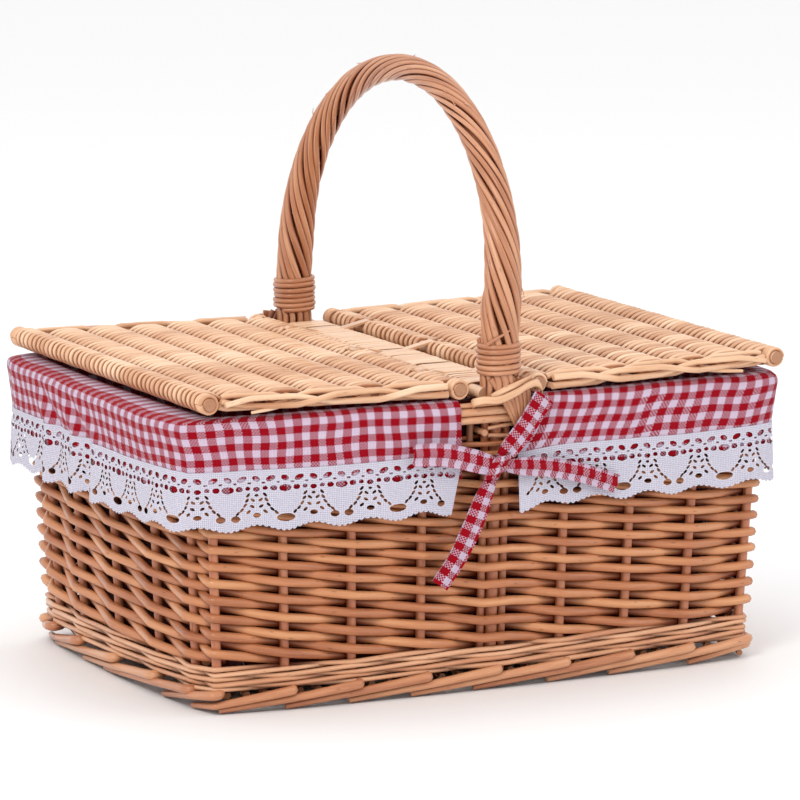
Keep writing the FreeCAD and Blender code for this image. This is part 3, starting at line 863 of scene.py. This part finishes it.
def handle_foot(end):
    """Binding round one foot of the handle, the fan of rods below it and the flat bands."""
    flip = FLIP[end]
    out = flip * (0, -1, 0)
    wrap = Bundle()
    angle = np.linspace(0, 2 * np.pi * BINDING_TURNS, int(BINDING_TURNS * 60)) + BINDING_START
    cos, sin = np.cos(angle), np.sin(angle)
    square = (np.abs(cos) ** BINDING_SQUARENESS
              + np.abs(sin) ** BINDING_SQUARENESS) ** (-1 / BINDING_SQUARENESS)
    level = (angle - BINDING_START) / (2 * np.pi)
    half = ROPE_RADIUS - 0.3 * np.cos(level * 2.1)
    path = np.column_stack([half * square * cos, -LEG_Y + 0.8 + half * square * sin,
                            BINDING_LOW + BINDING_PITCH * level])
    path[:, 2] += 0.35 * ripple(angle, 3.0, 2.3)
    # painted shade on the binding's side turned from the light
    wrap.rod(path * flip, 1.72, tone=0.42, up=(0, 0, 1), flat=1.04, front=np.pi - 0.5, side_shade=1.0)
    tip = smooth([(-11.8, -155.5, 224.0), (-8.5, -158.4, 227.0), (-3.5, -160.3, 230.0),
                  (1.0, -160.6, 232.5)])
    # painted shade on the tip's sides
    wrap.rod(tip * flip, np.linspace(1.3, 0.6, len(tip)), tone=0.5, up=out, front=np.pi / 2,
             side_shade=0.8)
    wrap.make("handle_wrap_" + end, HANDLE)

    fan = Bundle()
    for i in range(FAN_RODS):
        rod = smooth([(-9.5 + 3.6 * i, -155.0, 202.0), (-4.0 + 3.4 * i, -155.0, 194.0),
                      (0.5 + 2.9 * i, -154.4, 186.5), (6.3 + 1.75 * i, -154.4, 176.0),
                      (9.8 + 1.05 * i, -153.4, 169.6), (11.0 + 0.9 * i, -147.5, 166.5)])
        # painted shade on the rods' sides
        fan.rod(rod * flip, np.linspace(1.95, 1.4, len(rod)), up=out, front=np.pi / 2, side_shade=0.9)
    fan.make("handle_fan_" + end, HANDLE)

    band = Bundle()
    low = [(-16.0, -143.0, 184.0), (-19.5, -149.5, 185.2), (-20.5, -154.6, 187.6),
           (-15.5, -158.4, 189.2), (-8.0, -159.8, 188.8), (6.0, -159.8, 192.6),
           (16.5, -158.8, 196.8), (23.0, -157.0, 197.2), (27.0, -154.8, 192.4),
           (25.6, -149.6, 184.8)]
    high = [(-9.0, -156.5, 190.5), (-3.0, -158.6, 194.2), (7.0, -158.8, 197.6),
            (14.5, -157.4, 199.6), (19.5, -155.2, 200.6)]
    for points, half_width, tone in ((low, 2.6, 0.4), (high, 2.2, 0.35)):
        line = smooth(points, 1.5)
        outward = unit(line * (1, 1, 0) - np.array([0.0, -143.0, 0.0]))
        # painted shade on the bands' edges and backs
        band.rod(line * flip, half_width, tone=tone, up=outward * flip, flat=0.24,
                 front=np.pi / 2, side_shade=0.8)
    band.make("bridge_band_" + end, SKEIN)


# ---- Bridge ----
def bridge_wrap():
    """Flat skein wound round both bridge sticks, one turn beside the next."""
    stick_low, stick_high = box_mm("bridge_stick_right")
    x0, z0 = (stick_low[0] + stick_high[0]) / 2, (stick_low[2] + stick_high[2]) / 2
    radius = (stick_high[2] - stick_low[2]) / 2 + 0.75
    wrap_low, wrap_high = box_mm("bridge_wrap")
    bundle = Bundle()
    pitch = 6.15  # the width of the skein
    arc = np.radians(np.arange(-90, 91, 18))
    for y in np.arange(wrap_low[1] + pitch / 2, wrap_high[1], pitch):
        right = np.column_stack([x0 + radius * np.cos(arc), z0 + radius * np.sin(arc)])
        left = np.column_stack([-x0 - radius * np.cos(arc), z0 - radius * np.sin(arc)])
        top_x = np.linspace(x0 - 2, -x0 + 2, 5)
        flat_top = np.column_stack([top_x, np.full(5, z0 + radius + 0.15)])
        loop = np.vstack([right, flat_top, left, right[:1]])
        turn = np.linspace(0, 1, len(loop))
        lean = 0.35 * rng.normal() + 1.1 * (turn - 0.5)
        path = np.column_stack([loop[:, 0], y + lean, loop[:, 1] + rng.uniform(-0.12, 0.2)])
        outward = unit(path - (0, y, z0) - np.clip(path, -x0, x0) * (1, 0, 0))
        bundle.rod(path, pitch / 2 * rng.uniform(0.94, 1.03), tone=rng.uniform(0.55, 0.9), sides=10,
                   up=outward, flat=0.2)
    bundle.make("bridge_wrap", SKEIN)


# ---- Lids ----
LOOP_Y = (-95.0, 0.0, 95.0)  # the middles of the hinge loops
LOOP_HALF = 5.6
PASSES = 84  # of rod from the hinge to the outer stick or back
WRAP_RADIUS = 5.25  # of the rod turned round a lid's inner or outer stick
SWING = 4.1


class Lid:
    """A lid's own measures: u outward from the hinge axis, v along it, w up from the lid."""

    def __init__(self, side):
        self.side = side
        self.turn = 1 if side == "right" else -1
        inner = np.mean(box_mm(side + "_lid_inner_stick"), axis=0)
        outer = np.mean(box_mm(side + "_lid_outer_stick"), axis=0)
        self.hinge = inner * (self.turn, 1, 1)
        reach = outer * (self.turn, 1, 1) - self.hinge
        self.length = math.hypot(reach[0], reach[2])
        self.tilt = math.atan2(reach[2], reach[0])
        self.pitch = self.length / 6

    def turned(self, uvw):
        cos, sin = math.cos(self.tilt), math.sin(self.tilt)
        u, v, w = uvw[:, 0], uvw[:, 1], uvw[:, 2]
        level = np.column_stack([u * cos - w * sin, v, u * sin + w * cos])
        return level * (self.turn, self.turn, 1)

    def world(self, uvw):
        return self.turned(uvw) + self.hinge * (self.turn, 1, 1)


def lid_weave(lid):
    """Rods woven out over one rib and under the next, round the outer stick and back."""
    bundle = Bundle()
    low, high = box_mm(lid.side + "_lid_weave")
    spacing = (high[1] - low[1] - 3) / (PASSES - 1)
    points, ups, radii, dip_shade = [], [], [], []
    cuts = []

    def wrap(u, v0, v1, sign):
        turn = np.radians(np.arange(18, 163, 18))
        du, dw = np.sin(turn) * sign, np.cos(turn) * sign
        v = np.linspace(v0, v1, len(turn) + 2)[1:-1]
        points.append(np.column_stack([u + WRAP_RADIUS * du, v, WRAP_RADIUS * dw]))
        ups.append(np.column_stack([du, np.zeros_like(du), dw]))
        radii.append(np.full(len(turn), 2.05 + 0.25 * math.sin(1.7 * v0)))
        # painted shade on the underside of the turn
        dip_shade.append(np.clip(-dw, 0, 1) * 0.7)

    def notched(v):
        return min(abs(v - y) for y in LOOP_Y) < LOOP_HALF

    for k in range(PASSES):
        v = low[1] + 1.5 + spacing * k
        sign = (-1) ** k
        start = 9.5 if notched(v) else 1.2
        u = np.arange(start, lid.length - 1.0, 2.6)
        phase = np.pi * u / lid.pitch
        w = np.cos(phase)
        near_end = np.minimum(u, lid.length - u)
        w = np.where(near_end < lid.pitch * 0.3, np.sign(w) * np.maximum(np.abs(w), 0.62), w)
        seed = rng.uniform(0, 40)
        across = v + 0.4 * ripple(u, seed, 20)
        arched = w * (1.5 - 0.5 * w ** 2)
        lifted = 0.9 * np.exp(-((lid.length - u) / 9) ** 2) * np.sign(w)
        wide = (1.66 + 1.27 * np.abs(arched) ** 1.3) * (1 + 0.08 * ripple(u, seed + 5, 70))
        points.append(np.column_stack([u, across, (SWING * arched + lifted) * sign])[::sign])
        ups.append(np.tile([0.0, 0.0, float(sign)], (len(u), 1)))
        radii.append(wide[::sign])
        # painted shade where the rod dips under a rib
        dip_shade.append(np.clip((0.5 - w * sign) / 1.2, 0, 1)[::sign])
        if sign < 0:
            cuts.append(sum(len(p) for p in points))
        wrap(lid.length if sign > 0 else start if notched(v) else 0.0, v, v + spacing, sign)
    points, ups = np.vstack(points), np.vstack(ups)
    radii, dip_shade = np.concatenate(radii), np.concatenate(dip_shade)
    ups = np.vstack([ups[:1], (ups[:-2] + ups[1:-1] + ups[2:]) / 3, ups[-1:]])
    begin = 0
    for cut in cuts:
        if rng.uniform() < 0.55 or cut == cuts[-1]:
            part = slice(begin, cut + 1)
            # painted shade on both flanks of each rod
            bundle.rod(lid.world(points[part]), radii[part], recess=dip_shade[part],
                       up=lid.turned(ups[part]), flat=0.6, front=np.pi / 2, side_shade=1.65,
                       turned=True)
            begin = cut
    around = np.radians(np.arange(0, 361, 20))
    for v in (-147.6, -144.6, -141.6, 141.6, 144.6, 147.6):
        for u in (0.0, lid.length):
            radial = np.column_stack([np.cos(around), np.zeros_like(around), np.sin(around)])
            middle = np.column_stack([np.full(len(around), u), v + 1.2 * around / 6.3, 0 * around])
            # painted shade on the coil's inner side
            bundle.rod(lid.world(radial * WRAP_RADIUS + middle), 1.6, up=lid.turned(radial),
                       flat=0.8, front=np.pi / 2, side_shade=0.8)
    bundle.make(lid.side + "_lid_weave", LIDS, lid.side + "_lid")


def lid_edge(lid, end):
    """Two pairs of rods along a lid's front or back edge, crossing between the ribs."""
    bundle = Bundle()
    sign = lid.turn * (-1 if end == "front" else 1)
    for v, rise, roll, radius in ((149.6, 2.5, 1.7, 2.0), (143.6, 3.9, 0.0, 1.8)):
        for partner in (1, -1):
            u = np.arange(8.2 + rng.uniform(-0.5, 2.0), lid.length - rng.uniform(7.0, 8.0), 2.5)
            seed = rng.uniform(0, 30)
            turn = np.pi * (u / lid.pitch - 0.5 - 0.5 * (roll == 0)) / 2
            w = np.clip(1.5 * np.cos(turn), -1, 1) * partner
            across = v + roll * np.sin(turn) * partner + 0.5 * ripple(u, seed, 30)
            path = np.column_stack([u, sign * across, rise * w + 0.4 * ripple(u, seed + 4, 26)])
            taper = np.linspace(1.12, 0.88, len(u))
            # painted shade where the rod goes under its partner
            bundle.rod(lid.world(path), radius * taper, recess=np.clip(-w, 0, 1) * 0.3)
    loose = smooth([(lid.length - 62, sign * 144.5, -1.5), (lid.length - 42, sign * 149.0, -4.6),
                    (lid.length - 27, sign * 153.0, -5.6)])
    # a little painted shade on the loose rod
    bundle.rod(lid.world(loose), np.linspace(1.5, 1.0, len(loose)), recess=0.1)
    bundle.make(lid.side + "_lid_" + end + "_edge_rods", LIDS, lid.side + "_lid")


# ---- Cloth ----
def sheet_piece(name, points, cloth, faces=None, look=CHECK, nodes=None):
    """A cloth surface from rows of points, with the cloth's own millimetres for its pattern."""
    faces = grid_faces(*points.shape[:2]) if faces is None else faces
    mesh = new_mesh(name, points.reshape(-1, 3), faces.tolist())
    set_vector(mesh, "cloth", cloth.reshape(-1, 3))
    return place(name, mesh, look, "basket", nodes or [name])


# The photo's left skirt hangs loose and stands out, and the right one is drawn to the knot.
# gap is from the middle of the wall to the skirt's end. fold, broad and tug are the heights of
# its folds, pull how far the knot draws its end, and flare how far its side stands out at the
# rim and how much less at the hem. sag moves the checks, and fullness is not used.
SKIRTS = {
    "left": dict(turn=-1, gap=27.0, fold=2.9, broad=0.3, tug=0.35, pull=-0.5, flare=(9.5, 3.5),
                 front_flare=0.6, sag=0.55, fullness=1.14),
    "right": dict(turn=1, gap=21.5, fold=0.8, broad=0.6, tug=0.9, pull=13.0, flare=(4.5, 4.0),
                  front_flare=0.0, sag=1.0, fullness=1.08),
}
HANG = 32.0  # the part of the skirt that hangs free
UNDER_LACE = 13.0  # how far the skirt goes on under the lace


def skirt_run(side):
    """Where a skirt starts round the wall, and how far it goes."""
    gap = SKIRTS[side]["gap"]
    half = plan.length / 2
    return (gap if side == "left" else half + gap), half - 2 * gap


def skirt(side):
    """A skirt of the lining: it covers its half of the rim and hangs outside over the weave."""
    own = SKIRTS[side]
    turn = own["turn"]
    start, length = skirt_run(side)
    s = np.arange(start, start + length + 0.1, 2.0)
    # offset from the wall and height: up inside, over the border and down outside
    line = smooth([(-8.3, 152.0), (-8.4, 172.0), (-7.6, 184.6), (-4.6, 188.0), (0.0, 188.9),
                   (5.4, 187.9), (8.7, 184.2), (9.3, 176.0), (9.6, 165.0), (10.0, 154.6)], 1.6)
    down = along_line(line)
    S, D = np.meshgrid(s, down, indexing="ij")
    offset = np.broadcast_to(line[:, 0], S.shape).copy()
    z = np.broadcast_to(line[:, 1], S.shape).copy()
    hang = np.clip((down - down[-1] + HANG) / HANG, 0, 1)[None, :]
    outer = np.clip((down - down[np.argmax(line[:, 1])]) / 7, 0, 1)[None, :]
    local = S - start
    to_knot = local if side == "right" else local[::-1]

    at_end = np.exp(-((local - length / 2) / 85.0) ** 4)
    diagonal = (np.sin((local - 1.15 * D) / 6.4 + 0.5 * np.sin(local / 23))
                + 0.6 * np.sin((local - 0.8 * D) / 3.7 + 2))
    offset += hang * (own["fold"] * at_end * diagonal * (0.55 + 0.45 * np.sin(local / 31)))
    offset += hang * own["broad"] * (np.sin(local / 19.0 + 0.6) + 0.6 * np.sin(local / 8.3 + 2.0))
    offset += outer * own["tug"] * (np.sin((local + 1.3 * D) / 7.5) * np.exp(-(to_knot / 60.0)))
    nx, ny, size = plan.facing(s)
    across_corner = np.minimum(np.abs(nx), np.abs(ny)) / size
    offset += outer * 3.0 * np.clip((across_corner[:, None] - 0.45) / 0.26, 0, 1) ** 2
    z += hang ** 2 * 0.7 * np.sin(local / 27.0 + turn)
    pull = np.exp(-to_knot / 11.0) * hang ** 1.4
    grid = plan.at(S - pull * own["pull"], z - 3.0 * pull, offset)
    flare = outer * (own["flare"][0] - own["flare"][1] * hang)
    flare = flare * (1 + own["front_flare"] * np.clip(-grid[..., 1] / 100, 0, 1))
    grid[..., 0] += turn * flare * np.clip((np.abs(grid[..., 0]) - 120) / 75, 0, 1) ** 1.5

    hem = grid[:, -1]
    rows = 5
    row_step = UNDER_LACE / rows
    outward = np.column_stack([nx, ny, 0 * nx])
    under = np.stack([hem - (0, 0, row_step * k) - 0.1 * k * outward for k in range(1, rows + 1)],
                     axis=1)
    around = along_line(grid[:, -6, :2])[:, None] + np.zeros_like(D)
    if side == "right":  # the checks lean where the knot draws the cloth
        around = around + 0.36 * D * np.clip(1.3 - local / 240, 0.3, 1)
    sag = (0.9 * np.sin(local / 15.0 + turn) + 0.7 * np.sin(local / 34.0 + 1.0)
           + 0.35 * np.sin(local / 6.1))
    slip = 0.5 * np.sin(D / 7.0 + local / 21) + 0.4 * np.sin(D / 3.7 - local / 9)
    cloth = np.stack([around + slip, D + own["sag"] * sag, np.zeros_like(S)], axis=-1)
    more = cloth[:, -1:] + np.array([0, row_step, 0]) * np.arange(1, rows + 1)[None, :, None]
    piece = sheet_piece("liner_skirt_" + side, np.concatenate([grid, under], axis=1),
                        np.concatenate([cloth, more], axis=1))
    return hem


LACE_PERIOD = 38.0
LACE_EDGE = 34.4
LACE_WIDTH = 36.0
LACE_CELL = 0.62
FAR = 9.0  # a distance that stands for no hole near


def lace_holes(a, d, length):
    """Distance out of the nearest hole or inside the edge, less than 0 where the cloth is cut
    away, and the net's share. a is along the lace and d is down it. No hole is cut by its ends.
    """
    centre = (a + LACE_PERIOD / 2) % LACE_PERIOD - LACE_PERIOD / 2
    tile = np.floor((a + LACE_PERIOD / 2) / LACE_PERIOD)
    distance = np.full(a.shape, FAR)

    def hole(x, y, half_a, half_d, where=None, slant=0.0):
        du, dv = centre - x, d - y
        along = du * math.cos(slant) + dv * math.sin(slant)
        down = -du * math.sin(slant) + dv * math.cos(slant)
        value = (np.hypot(along / half_a, down / half_d) - 1) * min(half_a, half_d)
        value = np.where(np.minimum(a - du, length - a + du) > half_a + 1.5, value, FAR)
        if where is not None:
            value = np.where(where, value, FAR)
        np.minimum(distance, value, out=distance)

    for i in range(5):
        hole(-19 + 9.5 * i, 4.3, 2.7 + 0.5 * (i % 2), 1.7, slant=0.35 * (-1) ** i)
        hole(-14.2 + 9.5 * i, 6.9, 1.3, 0.6)
    hole(0, 10.6, 4.1, 2.2)
    for side in (-1, 1):
        hole(7.6 * side, 10.4, 2.3, 1.7)
        hole(13.2 * side, 10.2, 1.7, 1.3)
        hole(19.0 * side, 10.8, 2.2, 1.5)
        for x, y in ((13.4, 14.4), (12.6, 17.6), (11.2, 20.6), (9.0, 23.4), (6.2, 25.6)):
            hole(x * side, y, 1.7, 0.85, slant=-0.75 * side)
        hole(16.4 * side, 17.4, 1.6, 0.85, slant=0.5 * side)
        hole(16.0 * side, 21.4, 1.7, 0.9, slant=0.5 * side)
        hole(13.4 * side, 24.8, 1.7, 0.9, slant=-0.6 * side)
        hole(4.8 * side, 28.9, 3.1, 2.0, where=tile % 2 == 1)
        hole(19.0 * side, 27.0, 2.6, 1.5)
        hole(19.0 * side, 14.6, 1.4, 0.8)
    hole(0, 29.0, 6.2, 2.5, where=tile % 2 == 0)
    net = np.clip(distance / 0.9, 0, 1)
    scallops = 1.8 * np.cos(2 * np.pi * a / LACE_PERIOD)
    edge = LACE_EDGE + scallops + 1.1 * np.abs(np.sin(np.pi * a / (LACE_PERIOD / 10))) - d
    return np.minimum(distance, edge), net


def lace(side, hem):
    """Cotton lace sewn to the skirt's lower edge. The cells in holes are left out of the mesh,
    and the points beside them are moved onto the hole's outline.
    """
    turn = SKIRTS[side]["turn"]
    start, length = skirt_run(side)
    cell = LACE_CELL
    hem_along = along_line(hem[:, :2])
    total = hem_along[-1]
    A, D = np.meshgrid(np.arange(0, total, cell), np.arange(-1.2, 37.5, cell), indexing="ij")
    distance, net = lace_holes(A, D, total)
    keep = lace_holes(A[:-1, :-1] + cell / 2, D[:-1, :-1] + cell / 2, total)[0] > 0
    touching = np.zeros(A.shape, bool)
    for i, j in ((0, 0), (0, 1), (1, 0), (1, 1)):
        touching[i:A.shape[0] - 1 + i, j:A.shape[1] - 1 + j] |= ~keep
    step = 0.05
    slope_a = (lace_holes(A + step, D, total)[0] - distance) / step
    slope_d = (lace_holes(A, D + step, total)[0] - distance) / step
    steep = np.maximum(slope_a ** 2 + slope_d ** 2, 0.3)
    move = np.where(touching & (np.abs(distance) < cell), -distance / steep, 0.0)
    A2 = A + np.clip(move * slope_a, -0.4, 0.4) * cell
    D2 = D + np.clip(move * slope_d, -0.4, 0.4) * cell
    share = np.clip(D2 / LACE_WIDTH, 0, 1)
    S = start + np.interp(A2, hem_along, np.linspace(0, length, len(hem)))
    drawn = A2 - (8.0 * share * np.exp(-(total - A2) / 16.0) if side == "left" else 0.0)
    hem_x, hem_y, hem_z = (np.interp(drawn, hem_along, hem[:, i]) for i in range(3))
    nx, ny, size = plan.facing(S)
    out = 0.7 + 1.6 * share + share * (0.9 * np.sin(A2 / 13.0 + turn) + 0.45 * np.sin(A2 / 5.2))
    grid = np.stack([hem_x + out * nx / size, hem_y + out * ny / size, hem_z - D2 * 0.992],
                    axis=-1)
    used, packed = np.unique(grid_faces(*A.shape)[keep.reshape(-1)], return_inverse=True)
    cloth = np.stack([A2, D2, net], axis=-1)
    piece = sheet_piece("lace_" + side, grid.reshape(-1, 3)[used], cloth.reshape(-1, 3)[used],
                        packed.reshape(-1, 4), LACE)


BAG_TOP, BAG_FLOOR = 186.0, 19.5
PLY_GAP = 0.9


def liner_bag():
    """The lining inside: walls that sag a little and a floor, in two plies. The outer one, seen
    only through the weave, is coloured with painted shade.
    """
    s = np.arange(0, plan.length, 5.0)
    levels = np.linspace(BAG_TOP, BAG_FLOOR, 40)
    S, Z = np.meshgrid(s, levels, indexing="ij")
    depth = (BAG_TOP - Z) / (BAG_TOP - BAG_FLOOR)
    fold = 0.9 * np.sin(S / 21 + 2.2 * depth) + 0.7 * np.sin(S / 9.3 + 4 * depth + 1)
    hollow = np.sin(np.pi * np.clip(depth * 1.6, 0, 0.5))
    drawn_in = 6 * np.clip(depth - 0.93, 0, 1) / 0.07
    inward = -9.4 - 16.0 * hollow + fold * np.sin(np.pi * depth) * 1.5 - drawn_in
    walls = plan.at(S, Z, inward)
    rings = []
    for share in np.linspace(0.96, 0.0, 16):
        ring = walls[:, -1] * (share, share, 1.0)
        waves = 0.5 * np.sin(ring[:, 0] / 24) * np.sin(ring[:, 1] / 31)
        ring[:, 2] = BAG_FLOOR + waves * (1 - share)
        rings.append(ring)
    grid = np.concatenate([walls, np.stack(rings, axis=1)], axis=1)
    grid = np.concatenate([grid, grid[:1]], axis=0)
    around = np.append(s, plan.length)[:, None]
    lengths = np.linalg.norm(np.diff(grid, axis=1), axis=2)
    down = np.concatenate([np.zeros((len(grid), 1)), np.cumsum(lengths, axis=1)], axis=1)
    cloth = np.stack(np.broadcast_arrays(around, down, 0.0), axis=-1)
    cloth[:, len(levels):, :2] = grid[:, len(levels):, :2]
    outer = grid.copy()
    outer[:, :len(levels)] = np.concatenate([plan.at(S, Z, inward + PLY_GAP)] * 2)[:len(grid)]
    outer[:, len(levels) - 1:, 2] -= PLY_GAP
    # the outer ply's cloth values turn on the gingham's painted shade
    shaded = cloth + (0, 0, 1.0)
    for name, points, pattern in (("liner_bag_inner_ply", grid, cloth),
                                  ("liner_bag_painted_shade_ply", outer, shaded)):
        ply = sheet_piece(name, points, pattern, nodes=["liner_bag"])


CROSSING = 0.42  # where the strap and the loop go through the knot, as a part of their length


def ribbon(name, end, line, width, pattern_shift, fold):
    """A strap: a strip of checked cotton along a line, slightly folded lengthwise."""
    tangent = unit(np.gradient(line, axis=0))
    front = np.array([0.0, -1.0, 0.0])
    across = unit(np.cross(tangent, front))
    strip = np.linspace(-0.5, 0.5, 11)
    along = along_line(line)
    ridge = fold * np.cos(strip[None, :] * 3 * np.pi + 0.4 * np.sin(along / 9)[:, None])
    grid = (line[:, None, :] + strip[None, :, None] * width[:, None, None] * across[:, None, :]
            + ridge[..., None] * front)
    cloth = np.stack(np.broadcast_arrays(strip[None, :] * width[:, None] + pattern_shift,
                                         along[:, None] + 3.0, 0.0), axis=-1)
    piece = sheet_piece(name + end, grid * FLIP[end], cloth)


def tie(end):
    """Strap, loop, tails and knot in front of one foot of the handle."""
    knot = knot_piece(end)
    strap = smooth([(27.0, -158.6, 189.0), (11.5, -160.0, 168.5), (-5.0, -161.0, 150.5),
                    (-14.0, -161.0, 135.0), (-24.0, -159.8, 111.0), (-35.0, -158.8, 90.0),
                    (-46.0, -157.0, 74.0)])
    along = np.linspace(0, 1, len(strap))
    width = 15.0 - 6.5 * np.exp(-((along - CROSSING) / 0.1) ** 2) - 2.0 * along
    ribbon("tie_strap_", end, strap, width, 0.0, 0.9)
    loop = smooth([(-65.5, -159.6, 158.5), (-46.0, -161.5, 157.6), (-27.0, -162.2, 153.0),
                   (-12.0, -162.6, 148.5), (0.0, -162.6, 147.0), (24.0, -161.8, 144.5),
                   (54.0, -160.4, 137.5), (79.0, -158.6, 128.5)])
    along = np.linspace(0, 1, len(loop))
    width = np.where(along < 0.4, 14.5, 12.0) - 5.0 * np.exp(-((along - CROSSING) / 0.07) ** 2)
    ribbon("tie_loop_", end, loop, width, 4.0, 1.1)


KNOT_MIDDLE = (-8.0, -162.0, 147.6)
KNOT_HALF, KNOT_DEPTH, KNOT_HEIGHT = 6.6, 4.6, 15.5
KNOT_LEAN = 0.5


def knot_piece(end):
    """The knot: a short band of the same cloth drawn tight over the crossing."""
    A, B = np.meshgrid(np.radians(np.arange(0, 361, 10)), np.linspace(-0.5, 0.5, 15),
                       indexing="ij")
    pinch = 1 + 0.12 * np.cos(B * 2 * np.pi) + 0.06 * np.sin(A * 3 + B * 9)
    tall = KNOT_HEIGHT * B
    x = KNOT_MIDDLE[0] + KNOT_HALF * pinch * np.sin(A) + tall * math.sin(KNOT_LEAN)
    y = KNOT_MIDDLE[1] - KNOT_DEPTH * pinch * np.cos(A) + 0.9 * np.sin(B * 14 + 1.2 * A)
    z = KNOT_MIDDLE[2] + tall * math.cos(KNOT_LEAN) + 2.2 * np.sin(A) * math.sin(KNOT_LEAN)
    cloth = np.stack([A * KNOT_HALF, tall, np.zeros_like(A)], axis=-1)
    return sheet_piece("tie_knot_" + end, np.stack([x, y, z], axis=-1) * FLIP[end], cloth)


# ---- Pieces shown as they are in the frame ----
def dress(material, *names):
    """Give CAD pieces that are shown as they are their material."""
    for name in names:
        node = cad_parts[name]
        if not node.material_slots:
            node.data.materials.append(material)
        node.material_slots[0].link = "OBJECT"
        node.material_slots[0].material = material


# ---- Stage ----
FLOOR_HALF = 6.0  # metres


def studio():
    """A pale floor, a white world and three soft lights."""
    floor_mesh = bpy.data.meshes.new("floor")
    corners = [(x * FLOOR_HALF, y * FLOOR_HALF, 0) for x, y in ((-1, -1), (1, -1), (1, 1), (-1, 1))]
    floor_mesh.from_pydata(corners, [], [(0, 1, 2, 3)])
    t = Nodes("floor_paper")
    t.shader.inputs["Base Color"].default_value = (0.93, 0.93, 0.93, 1.0)
    t.plain(roughness=0.7)
    floor_mesh.materials.append(t.material)
    floor = bpy.data.objects.new("floor", floor_mesh)
    bpy.context.scene.collection.objects.link(floor)
    world = bpy.data.worlds.new("studio")
    world.use_nodes = True
    background = world.node_tree.nodes["Background"]
    background.inputs[0].default_value = (1.0, 1.0, 1.0, 1.0)
    background.inputs[1].default_value = 1.0
    bpy.context.scene.world = world
    bpy.context.scene.view_settings.view_transform = "Standard"

    def softbox(name, where, width, power, tint=(1.0, 1.0, 1.0)):
        data = bpy.data.lights.new(name, "AREA")
        data.shape = "SQUARE"
        data.size = width
        data.energy = power
        data.color = tint
        light = bpy.data.objects.new(name, data)
        light.location = where
        aim = Vector((0, 0, 0.15)) - Vector(where)
        light.rotation_euler = aim.to_track_quat("-Z", "Y").to_euler()
        bpy.context.scene.collection.objects.link(light)

    softbox("key", (-1.8, -1.5, 1.85), 0.9, 25.0, (1.0, 0.985, 0.96))
    softbox("fill", (1.9, -1.3, 1.0), 1.4, 5.0)
    softbox("top", (0.2, 0.5, 2.4), 1.6, 8.0)


side_weave()
lower_wale()
foot_border()
base_weave()
top_border()
handle_roping()
for which_end in FLIP:
    handle_foot(which_end)
bridge_wrap()
for which_side in SKIRTS:
    one_lid = Lid(which_side)
    lid_weave(one_lid)
    for which_end in FLIP:
        lid_edge(one_lid, which_end)
    lace(which_side, skirt(which_side))
liner_bag()
for which_end in FLIP:
    tie(which_end)
dress(upright_willow, *("stakes_" + wall for wall in WALLS), "corner_posts", "handle_bow",
      "handle_liners_front", "handle_liners_back")
dress(length_willow, "base_sticks")
for which_side in SKIRTS:
    dress(loop_willow, "hinge_loops_" + which_side)
    dress(crossing_willow, "bridge_stick_" + which_side,
          *(which_side + "_lid_" + part for part in ("inner_stick", "outer_stick", "ribs")))
studio()
